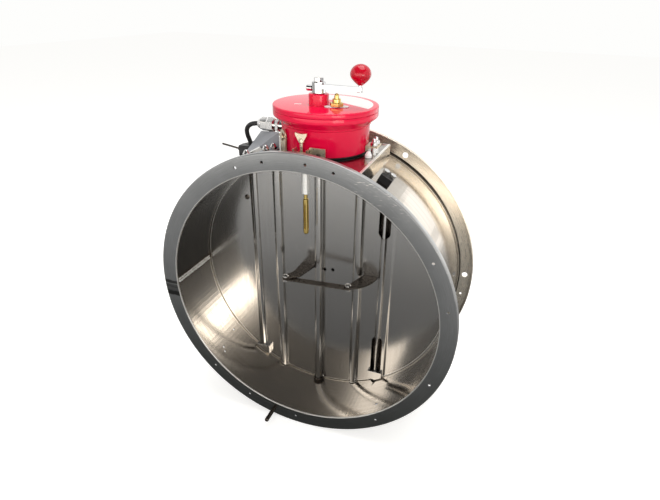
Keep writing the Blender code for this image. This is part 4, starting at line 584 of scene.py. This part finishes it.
def blade_finish():
    """Cold rolled sheet with faint upright lines and a painted highlight along its cut edge."""
    made = Finish("blade_stainless", Metallic=1.0)
    grain = made.group(GRAIN, Stretch=(240, 240, 4))
    # Painted highlight: the sheet is lightened along its cut edge.
    edge = made.span(made.group(DUCT_RADIUS)["Radius"], 0.2467, 0.2473)
    tone = made.mix(grain["Blend"], (0.60, 0.595, 0.585), (0.54, 0.53, 0.515))
    rough = made.span(grain["Blend"], 0.0, 1.0, 0.17, 0.23)
    made.wear(made.mix(edge, tone, (0.92, 0.90, 0.86)),
              made.maths("MAXIMUM", rough, made.product(edge, 0.4)),
              grain["Streaks"], 0.006, 0.0003)
    return made


def box_finish():
    """Folded box: smooth clouded sheet with painted highlights along its upper edges."""
    made = Finish("box_stainless", Metallic=1.0)
    x, y, z = made.xyz()
    grain = made.group(GRAIN, Stretch=(40, 400, 40))
    side = made.span(made.maths("ABSOLUTE", x), 0.0988, 0.0998)
    end = made.span(made.maths("ABSOLUTE", y), 0.0850, 0.0860)
    # Painted highlight: the box's upper edges are lightened.
    rim_highlight = made.product(made.maths("MAXIMUM", side, end), made.span(z, 0.2560, 0.2568))
    tone = made.mix(grain["Streaks"], (0.46, 0.43, 0.39), (0.37, 0.345, 0.315))
    cloud = made.span(made.noise(22, 4.0), 0.40, 0.75, 0.0, 0.45)
    tone = made.mix(cloud, tone, (0.20, 0.18, 0.15))
    rough = made.span(grain["Streaks"], 0.0, 1.0, 0.12, 0.20)
    made.wear(made.mix(rim_highlight, tone, (0.96, 0.95, 0.92)),
              made.maths("MAXIMUM", rough, made.product(rim_highlight, 0.38)),
              grain["Streaks"], 0.02, 0.0003)
    return made


def enamel_finish():
    """Glossy red enamel. The lid's top has a white dash and dot and a pale smeared sector."""
    made = Finish("red_enamel", Specular_IOR_Level=0.35)
    x, y, z = made.xyz()
    dash_x, dash_y = -0.0336, -0.0087
    turned = made.node("ShaderNodeVectorRotate", Vector=made.place,
                       Center=(dash_x, dash_y, LID_TOP), Angle=math.radians(-20))
    turned.rotation_type = "Z_AXIS"
    axes = made.xyz(turned.outputs[0])
    dash = made.product(made.near(axes["X"], dash_x, 0.0055, 0.0062),
                        made.near(axes["Y"], dash_y, 0.0016, 0.0022))
    dot = made.spot((-0.0177, 0.0051, LID_TOP), 0.0019, 0.0025)
    flat_place = made.vector("MULTIPLY", made.place, (1, 1, 0))
    disc = made.spot((*DRUM, 0), 0.0780, 0.0786, flat_place)
    chord = made.maths("ADD", made.product(x, 0.50), made.product(y, 0.866))
    sector = made.product(disc, made.span(chord, 0.0432, 0.0438))
    marks = made.maths("MAXIMUM", made.maths("MAXIMUM", dash, dot), sector)
    marks = made.product(marks, made.span(z, 0.3337, 0.3339))
    smears = made.span(made.streaks((260, 700, 1), 2.0), 0.60, 0.68, 0.0, 0.35)
    pale = made.mix(smears, (0.86, 0.85, 0.82), (0.45, 0.40, 0.38))
    shade = made.span(made.noise(9), 0.3, 0.7, 0.0, 0.12)
    tone = made.mix(shade, (0.79, 0.003, 0.050), (0.68, 0.002, 0.040))
    made.wear(made.mix(marks, tone, pale), made.span(made.noise(20), 0.3, 0.7, 0.06, 0.11),
              made.noise(260, 2.0), 0.02, 0.0003)
    return made


blade_steel = blade_finish()
duct_steel = wall_finish()
box_steel = box_finish()
red = enamel_finish()
ring_steel = ring_finish("ring_zinc", (0.285, 0.295, 0.303), (0.18, 0.185, 0.19),
                         0.30, 0.42, front_marks_and_highlights)
# The back ring gets a far paler, warmer copy of the ring's zinc: painted light for the glare on it.
back_ring_lit_finish = ring_finish("back_ring_lit_zinc", (0.97, 0.90, 0.78), (0.84, 0.77, 0.66),
                              0.24, 0.36, back_joint_shade)
bright_steel = steel_finish("bright_steel", (0.80, 0.79, 0.78), (0.70, 0.69, 0.68), 0.10, 0.18,
                            (120, 120, 120), relief=0.03)
dark_steel = steel_finish("dark_steel", (0.085, 0.072, 0.064), (0.13, 0.115, 0.10), 0.22, 0.36,
                          (200, 200, 40))
chrome = steel_finish("chrome_plate", (0.70, 0.70, 0.71), (0.60, 0.60, 0.61), 0.05, 0.10,
                      (60, 60, 60), relief=0.01)
brass = steel_finish("turned_brass", (0.86, 0.66, 0.24), (0.62, 0.44, 0.14), 0.16, 0.26,
                     (40, 40, 900))
zinc = steel_finish("yellow_zinc", (0.80, 0.70, 0.54), (0.56, 0.47, 0.33), 0.26, 0.40,
                    (150, 150, 150), metallic=0.85, relief=0.06)
blued = steel_finish("blued_spring", (0.20, 0.21, 0.25), (0.12, 0.12, 0.15), 0.25, 0.4,
                     (300, 300, 60))
tin = steel_finish("matt_tin", (0.94, 0.94, 0.92), (0.80, 0.80, 0.78), 0.30, 0.42,
                   (60, 60, 500), metallic=0.5, relief=0.12)
knob_red = paint_finish("knob_plastic", (0.50, 0.001, 0.016), 0.10)
grey = paint_finish("grey_paint", (0.27, 0.28, 0.30), 0.40)
white = paint_finish("white_plate", (0.80, 0.78, 0.77), 0.35)
black = paint_finish("black_moulding", (0.012, 0.012, 0.013), 0.38, specks=0.06)
rubber = paint_finish("black_rubber", (0.010, 0.010, 0.011), 0.48, specks=0.04)


# Duct shell, its two end rings and the weld inside

def ring_outline(face, way):
    """Section of a pressed end ring. way is +1 where the duct lies towards +Y from its face."""
    neck_in, neck_out, lip = BORE + 0.0023, BORE + 0.0043, RING - WALL
    flat = [(BORE, 0.0), (RING, 0.0), (RING, 0.010), (lip, 0.010), (lip, RING_SHEET),
            (neck_out, RING_SHEET), (neck_out, 0.012), (neck_in, 0.012),
            (neck_in, RING_SHEET), (BORE, RING_SHEET)]
    radii = [0.0016, 0.0026, 0.0006, 0.0006, 0.0012, 0.0008, 0.0005, 0.0005, 0, 0.0004]
    return [(r, face + way * d) for r, d in soften(flat, radii, 5)]


def ring_bit(face, degrees, radius):
    turn = math.radians(degrees)
    return drill_bit((HOLE_CIRCLE * math.sin(turn), face, HOLE_CIRCLE * math.cos(turn)),
                     radius, 0.03)


front_ring = turn_piece("front_ring", ring_outline(FRONT, 1), ROUND_STEPS, "Y")
combine(front_ring, "DIFFERENCE", *[ring_bit(FRONT, angle, RIVET_HOLE) for angle in RIVET_ANGLES],
        drill_bit((STUD[0], FRONT, STUD[1]), STUD_HOLE, 0.03))
smooth(front_ring)
stand_for(front_ring, "case", ring_steel, "front_flange")

back_ring = turn_piece("back_ring", ring_outline(BACK, -1), ROUND_STEPS, "Y")
combine(back_ring, "DIFFERENCE",
        *[ring_bit(BACK, BOLT_FIRST + 360 / BOLT_COUNT * i, BOLT_HOLE) for i in range(BOLT_COUNT)],
        ring_bit(BACK, BACK_RIVET_ANGLE, RIVET_HOLE))
smooth(back_ring)
stand_for(back_ring, "case", back_ring_lit_finish, "back_flange")

wall_front, wall_back = FRONT + RING_OVERLAP, BACK - RING_OVERLAP
shell = turn_piece("duct_wall", [(BORE, wall_front), (BORE + WALL, wall_front),
                                 (BORE + WALL, wall_back), (BORE, wall_back)],
                   ROUND_STEPS, "Y")
combine(shell, "DIFFERENCE", drill_bit((0, 0, BORE), BUSH_HOLE, 0.04, "Z"),
        drill_bit((0, 0, -BORE), BUSH_HOLE, 0.04, "Z"),
        drill_bit((*FUSE, BORE), FUSE_HOLE, 0.04, "Z"), *[wall_bit(*hole) for hole in WALL_HOLES])
smooth(shell)
stand_for(shell, "case", duct_steel, "duct_shell")


def weld_bead(name, z, wide, seed):
    """A thin wavy bead of weld along the inside of the wall."""
    chance = random.Random(seed)
    start, run = FRONT + WELD_START, WELD_END - FRONT - WELD_START
    bead = draw(name, [(WELD_RISE - BORE, start + run * i / WELD_STEPS,
                        z + chance.uniform(-WELD_WAVE, WELD_WAVE))
                       for i in range(WELD_STEPS + 1)], False)
    bpy.ops.object.mode_set(mode="OBJECT")
    bead.modifiers.new("body", "SKIN").use_smooth_shade = True
    for corner in bead.data.skin_vertices[0].data:
        size = wide * chance.uniform(0.55, 1.25)
        corner.radius = (size, size)
    apply_modifiers(bead)
    return smooth(bead, 60)


for number, (z, wide) in enumerate(WELD_BEADS):
    add_on(weld_bead(f"weld_bead_{number + 1}", z, wide, 5 + number), "case", tin)


# Blade: one pressed skin with rounded beads, joggled wings and round-ended slots

def blade_section():
    wing = BLADE_FACE + JOGGLE
    room = BLADE_ROOM + 0.002
    line = [(-room, wing), (-JOGGLE_END, wing), (-JOGGLE_START, BLADE_FACE)]
    for middle, radius, sink in PRESSINGS:
        dip = math.degrees(math.asin(sink / radius))
        line += arc((middle, BLADE_FACE + sink), radius, 180 + dip, 360 - dip, 18)
    line += [(JOGGLE_START, BLADE_FACE), (JOGGLE_END, wing), (room, wing)]
    flat = 0.0001
    radii = [FOLD if abs(y - BLADE_FACE) < flat or abs(y - wing) < flat else 0 for x, y in line]
    return soften(line, radii, closed=False)


blade = draw("blade_skin", [(x, y, -BLADE_ROOM) for x, y in blade_section()], False)
bpy.ops.mesh.extrude_region_move(TRANSFORM_OT_translate={"value": (0, 0, 2 * BLADE_ROOM)})
bpy.ops.mesh.normals_make_consistent(inside=False)
bpy.ops.object.mode_set(mode="OBJECT")
thickness = blade.modifiers.new("sheet", "SOLIDIFY")
thickness.thickness = BLADE_SHEET
thickness.offset = -1.0 if blade.data.polygons[0].normal.y < 0 else 1.0
apply_modifiers(blade)
choose(blade)
bpy.ops.object.mode_set(mode="EDIT")
face_out()
combine(blade, "INTERSECT", drill_bit((0, 0, 0), BLADE_EDGE, 0.2, sides=ROUND_STEPS))
tools = []
for end in (-1, 1):
    slot = [(SLOT_HALF, BLADE_ROOM), (-SLOT_HALF, BLADE_ROOM)]
    slot += arc((0, SLOT_START), SLOT_HALF, 180, 360, 16)
    tools.append(drill_bit((0, 0, end * NOTCH_MIDDLE), NOTCH_RADIUS, NOTCH_DEPTH, "Z"))
    tools.append(slab("slot", [(RIGHT_ROD + x, end * z) for x, z in slot], -0.02, 0.03))
for x, z in BLADE_HOLES:
    tools.append(drill_bit((x, BLADE_HOLE_Y, z), BLADE_HOLE, BLADE_HOLE_DEPTH))
combine(blade, "DIFFERENCE", *tools)
bevel(blade, 0.0005, 50)
stand_for(blade, "blade", blade_steel, "blade")

wing_screw = turn_piece("wing_screw_head", soften(
    [(0, 0.0103), (0.0050, 0.0103), (0.0050, 0.0092), (0.0034, 0.0086), (0.0026, 0.0096),
     (0, 0.0093)], [0, 0, 0.0004, 0.0003, 0.0003, 0]),
    28, "Y", (WING_SCREW[0], 0, WING_SCREW[1]), False)
add_on(wing_screw, "blade", dark_steel)

for x, name in ((LEFT_ROD, "left_rod"), (RIGHT_ROD, "right_rod")):
    rod = turn_piece(name + "_bar", soften(
        [(0, -ROD_END), (ROD_RADIUS, -ROD_END), (ROD_RADIUS, ROD_END), (0, ROD_END)],
        [0, 0.0008, 0.0008, 0]), 32, "Z", (x, ROD_Y, 0), False)
    stand_for(rod, "blade", bright_steel, name)

shaft = turn_piece("shaft_bar", soften(
    [(0, SHAFT_BOTTOM), (SHAFT_RADIUS, SHAFT_BOTTOM), (SHAFT_RADIUS, SHAFT_SHOULDER),
     (TENON_RADIUS, SHAFT_SHOULDER), (TENON_RADIUS, SHAFT_TOP), (0, SHAFT_TOP)],
    [0, 0.001, 0.0005, 0, 0.0006, 0]), 48, "Z", closed=False)
stand_for(shaft, "blade", blade_steel, "damper_shaft")

# Small parts with their edges eased, as (node, body, finish, bevel width)
EASED = (
    ("blade_seal", "blade", bright_steel, 0.0004),
    ("blade_back", "blade", dark_steel, 0.0006),
    ("left_rod_clip", "blade", blade_steel, 0.0006),
    ("right_rod_clip", "blade", blade_steel, 0.0006),
    ("flange_stud", "case", dark_steel, 0.0002),
    ("lower_bush", "case", dark_steel, 0.0005),
    ("upper_bush", "case", dark_steel, 0.0005),
    ("strap_arm", "blade", dark_steel, 0.0005),
    ("strap_link", "blade", dark_steel, 0.0005),
    ("strap_lug", "blade", dark_steel, 0.0005),
    ("left_strap_bolt", "blade", bright_steel, 0.0003),
    ("right_strap_bolt", "blade", bright_steel, 0.0003),
    ("saddle_box", "case", box_steel, 0.0014),
    ("drum_gasket", "case", rubber, 0.0008),
    ("spring_arbor", "blade", blued, 0.0004),
    ("crank_arm", "blade", chrome, 0.0008),
    ("crank_nut", "blade", chrome, 0.0005),
    ("crank_set_screw", "blade", chrome, 0.0003),
    ("knob_stud", "blade", chrome, 0.0003),
    ("release_plate", "case", white, 0.0002),
    ("release_bush", "case", brass, 0.0005),
    ("release_pin", "release", brass, 0.0),
    ("link_holder", "case", tin, 0.0004),
    ("fusible_link", "case", brass, 0.0003),
    ("clamp_bracket", "case", zinc, 0.0005),
    ("clamp_bracket_bolt", "case", dark_steel, 0.0003),
    ("clamp_barrel", "clamp", zinc, 0.0005),
    ("wing_screw", "wing", zinc, 0.0009),
    ("side_bracket", "case", zinc, 0.0006),
    ("side_bracket_bolt", "case", zinc, 0.0003),
    ("drum_ear", "case", zinc, 0.0007),
    ("ear_bolt_front", "case", bright_steel, 0.0003),
    ("ear_bolt_back", "case", bright_steel, 0.0003),
    ("box_nut_left", "case", bright_steel, 0.0003),
    ("box_nut_right", "case", white, 0.0003),
    ("cover_nut_left", "case", bright_steel, 0.0003),
    ("cover_nut_right", "case", bright_steel, 0.0003),
    ("gland_body", "case", bright_steel, 0.0006),
    ("gland_nut", "case", bright_steel, 0.0006),
    ("wiring_cover", "case", grey, 0.0005),
    ("end_switch", "case", black, 0.0005),
    ("switch_bracket", "case", ring_steel, 0.0004),
    ("switch_lever", "lever", dark_steel, 0.0),
    ("stop_block", "case", black, 0.0012),
    ("stop_bolt_left", "case", bright_steel, 0.0006),
    ("stop_bolt_right", "case", bright_steel, 0.0006),
)
for node, body, finish, width in EASED:
    stand_for(refine(node, width), body, finish, node)

for node in ("power_spring", "spring_post"):
    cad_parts[node].data.materials.clear()
    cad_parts[node].data.materials.append(blued.made)

# Drum, lid and knob
housing = turn_piece("drum_shell", soften(
    [(0.018, DRUM_BOTTOM), (0.0745, DRUM_BOTTOM), (0.0745, 0.3035), (0.0762, 0.3050),
     (0.0762, 0.3072), (0.0866, 0.3160), (LID_RADIUS, 0.3175), (LID_RADIUS, 0.3257),
     (0.0845, 0.3257), (0.0845, 0.3190), (0.0725, 0.3070), (0.0705, 0.3040),
     (0.0705, 0.2680), (0.018, 0.2680)],
    [0, 0.002, 0.0006, 0.0008, 0.0012, 0.002, 0.0015, 0.0008, 0.0005, 0.001, 0.001, 0.001,
     0.001, 0]), DRUM_STEPS, "Z", (*DRUM, 0))
combine(housing, "DIFFERENCE", drill_bit((*FUSE, 0.265), FUSE_HOLE, 0.03, "Z"),
        drill_bit(GLAND_PLACE, GLAND_HOLE, 0.04, "X"))
smooth(housing)
stand_for(housing, "case", red, "drum_housing")

lid = turn_piece("drum_cover", soften(
    [(0.0, LID_TOP), (LID_RADIUS, LID_TOP), (LID_RADIUS, 0.3260), (0.0845, 0.3260),
     (0.0845, 0.3305), (0.0, 0.3305)], [0, 0.0022, 0.0008, 0.0005, 0.001, 0], 5),
    DRUM_STEPS, "Z", (*DRUM, 0), False)
boss = turn_piece("lid_boss", soften(
    [(0, 0.3315), (BOSS_RADIUS, 0.3315), (BOSS_RADIUS, BOSS_TOP), (0, BOSS_TOP)],
    [0, 0, 0.0016, 0], 5), 72, closed=False)
combine(lid, "UNION", boss)
combine(lid, "DIFFERENCE", drill_bit((0, 0, 0.34), SHAFT_HOLE, 0.05, "Z", 48),
        drill_bit(RELEASE_PLACE, RELEASE_HOLE, 0.02, "Z"))
smooth(lid)
stand_for(lid, "case", red, "drum_lid")


def knob_outline():
    """Egg shape: a drawn-out lower part and a round upper part that meet where it is widest."""
    line = [(0, KNOB_BOTTOM)]
    for step in range(1, KNOB_STEPS):
        height = 0.5 - 0.5 * math.cos(math.pi * step / KNOB_STEPS)
        if height < KNOB_WIDEST:
            bulge = math.sin(math.pi / 2 * height / KNOB_WIDEST) ** 0.95
        else:
            bulge = math.sqrt(1 - ((height - KNOB_WIDEST) / (1 - KNOB_WIDEST)) ** 2)
        line.append((KNOB_RADIUS * bulge, KNOB_BOTTOM + KNOB_HEIGHT * height))
    return line + [(0, KNOB_BOTTOM + KNOB_HEIGHT)]


knob = turn_piece("knob_ball", knob_outline(), 64, "Z", (KNOB_X, 0, 0), False)
combine(knob, "DIFFERENCE",
        drill_bit((KNOB_X, 0, KNOB_HOLE_MIDDLE), KNOB_HOLE, KNOB_HOLE_DEPTH, "Z", 24))
smooth(knob)
stand_for(knob, "blade", knob_red, "ball_knob")

# Cable from the gland to the end switch
CABLE_ROUTE = (
    (-0.0883, 0.0120, 0.2900), (-0.1183, 0.0120, 0.2900), (-0.1263, 0.0120, 0.2890),
    (-0.1353, 0.0135, 0.2865), (-0.1438, 0.0165, 0.2805), (-0.1488, 0.0205, 0.2724),
    (-0.1498, 0.0245, 0.2630), (-0.1500, 0.0300, 0.2543), (-0.1500, 0.0335, 0.2473),
    (-0.1500, 0.0335, 0.2443), (-0.1500, 0.0335, 0.2413),
)
route = bpy.data.curves.new("cable_lead", "CURVE")
route.dimensions = "3D"
route.bevel_depth = 0.004
route.bevel_resolution = 6
route.use_fill_caps = True
run = route.splines.new("NURBS")
run.points.add(len(CABLE_ROUTE) - 1)
for point, place in zip(run.points, CABLE_ROUTE):
    point.co = (*place, 1.0)
run.use_endpoint_u = True
run.order_u = 3
run.resolution_u = 8
cable = bpy.data.objects.new("cable_lead", route)
bpy.context.collection.objects.link(cable)
route.materials.append(rubber.made)
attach(cable, "case")
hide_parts("signal_cable")


# Studio: pale floor, white surround, soft lamps, reflection cards and the camera

def stage_material(name):
    made = bpy.data.materials.new(name)
    made.use_nodes = True
    made.node_tree.nodes.clear()
    net = Network(made.node_tree)
    return made, net, net.node("ShaderNodeOutputMaterial").inputs["Surface"]


def plain_stage(name, colour, glow):
    """A matt surface that the camera sees lifted towards white."""
    made, net, surface = stage_material(name)
    path = net.node("ShaderNodeLightPath")
    level = net.product(path.outputs["Is Camera Ray"], glow)
    both = net.node("ShaderNodeAddShader")
    net.fill(both.inputs[0], net.node("ShaderNodeBsdfDiffuse", Color=colour).outputs[0])
    net.fill(both.inputs[1], net.node("ShaderNodeEmission", Strength=level).outputs[0])
    net.fill(surface, both.outputs[0])
    return made


def glowing_card(name, stops, by_height, tilt, tint):
    """Card finish that glows by (distance, level) stops, measured upwards or from the middle.

    tilt is how much brighter it gets for each metre to the right.
    """
    made, net, surface = stage_material(name)
    place = net.node("ShaderNodeTexCoord").outputs["Object"]
    axes = net.xyz(place)
    distance = axes["Z"] if by_height else net.vector("LENGTH", place)
    level = stops[0][1]
    for (low, start), (high, end) in zip(stops, stops[1:]):
        level = net.maths("ADD", net.span(distance, low, high, 0.0, end - start), level)
    side = net.maths("ADD", net.product(axes["X"], tilt), 1.0)
    glow = net.node("ShaderNodeEmission", Color=tint, Strength=net.product(level, side))
    net.fill(surface, glow.outputs[0])
    return made


def lamp(name, place, target, size, level, colour=(1, 1, 1), in_reflections=True):
    """A softbox whose level is how bright its face looks in a mirror."""
    data = bpy.data.lights.new(name, "AREA")
    data.shape = "RECTANGLE"
    data.size, data.size_y = size
    data.energy = level * math.pi * size[0] * size[1]
    data.color = colour
    made = bpy.data.objects.new(name, data)
    bpy.context.collection.objects.link(made)
    made.location = place
    made.rotation_euler = (Vector(target) - Vector(place)).to_track_quat("-Z", "Y").to_euler()
    made.visible_camera = False
    made.visible_glossy = in_reflections


def card(name, place, upright, size, material):
    """A flat card that only mirrors show."""
    deselect()
    bpy.ops.mesh.primitive_plane_add(size=1, location=place,
                                     rotation=(math.radians(90 if upright else 0), 0, 0))
    made = bpy.context.object
    made.name = name
    made.scale = (*size, 1)
    settle(made)
    made.data.materials.append(material)
    made.visible_camera = False
    made.visible_diffuse = False
    made.visible_shadow = False


deselect()
bpy.ops.mesh.primitive_plane_add(size=14, location=(0, 2.0, FLOOR))
floor = bpy.context.object
floor.name = "floor"
floor.data.materials.append(plain_stage("floor_white", (0.80, 0.79, 0.77), 0.50))

# The surround is white to the camera and in reflections, and lights the object less.
world = bpy.context.scene.world or bpy.data.worlds.new("studio")
bpy.context.scene.world = world
world.use_nodes = True
world.node_tree.nodes.clear()
net = Network(world.node_tree)
path = net.node("ShaderNodeLightPath")
seen = net.maths("MAXIMUM", path.outputs["Is Camera Ray"], path.outputs["Is Glossy Ray"])
sky = net.node("ShaderNodeBackground", Color=(0.99, 0.99, 0.975),
               Strength=net.span(seen, 0.0, 1.0, 0.60, 1.0, "LINEAR"))
net.fill(net.node("ShaderNodeOutputWorld").inputs["Surface"], sky.outputs[0])

lamp("top_softbox", (0.2, 0.2, 2.2), (0, 0, 0.1), (1.8, 1.4), 3.2)
lamp("right_softbox", (1.57, -1.47, 0.14), (0, 0, -0.1), (1.0, 0.6), 4.4, (1.0, 0.93, 0.83))
lamp("back_softbox", (1.3, 2.0, 0.25), (0.1, 0, 0.1), (1.8, 1.2), 0.8, (1.0, 0.98, 0.95))
lamp("front_fill", (0.4, -2.2, 1.3), (0, 0, 0.2), (1.6, 1.2), 3.6, in_reflections=False)

FRONT_STOPS = ((0.70, 2.7), (1.20, 1.0), (1.7, 0.24), (2.7, 0.11))
CEILING_STOPS = ((0.0, 0.12), (3.0, 0.10))
FLOOR_STOPS = ((0.15, 0.08), (0.5, 0.17), (0.85, 0.32), (1.3, 0.50), (2.2, 0.90))
card("card_front", (0.0, -2.7, 1.26), True, (6.4, 3.08),
     glowing_card("front_glow", FRONT_STOPS, True, 0.02, (1.0, 0.95, 0.88)))
card("card_ceiling", (0.0, -1.0, 2.8), False, (6.4, 3.4),
     glowing_card("ceiling_glow", CEILING_STOPS, False, 0.0, (1.0, 1.0, 1.0)))
# card_floor glows least under the object, a painted shadow on the floor that only reflections show.
card("card_floor", (0.0, 0.0, FLOOR + 0.0008), False, (7.0, 7.0),
     glowing_card("floor_glow", FLOOR_STOPS, False, 0.15, (1.0, 0.99, 0.97)))

lens = bpy.data.cameras.new("studio_camera")
lens.sensor_width = 36.0
lens.lens = 26.6
lens.shift_x = -0.0176
lens.shift_y = -0.0008
lens.clip_start = 0.01
camera = bpy.data.objects.new("studio_camera", lens)
bpy.context.collection.objects.link(camera)
camera.matrix_world = Matrix(((0.9423, -0.1728, 0.2868, 0.3038), (0.3341, 0.4282, -0.8397, -0.7560),
                              (0.0223, 0.8870, 0.4612, 0.4920), (0, 0, 0, 1)))
bpy.context.scene.camera = camera
bpy.context.scene.view_settings.view_transform = "Standard"
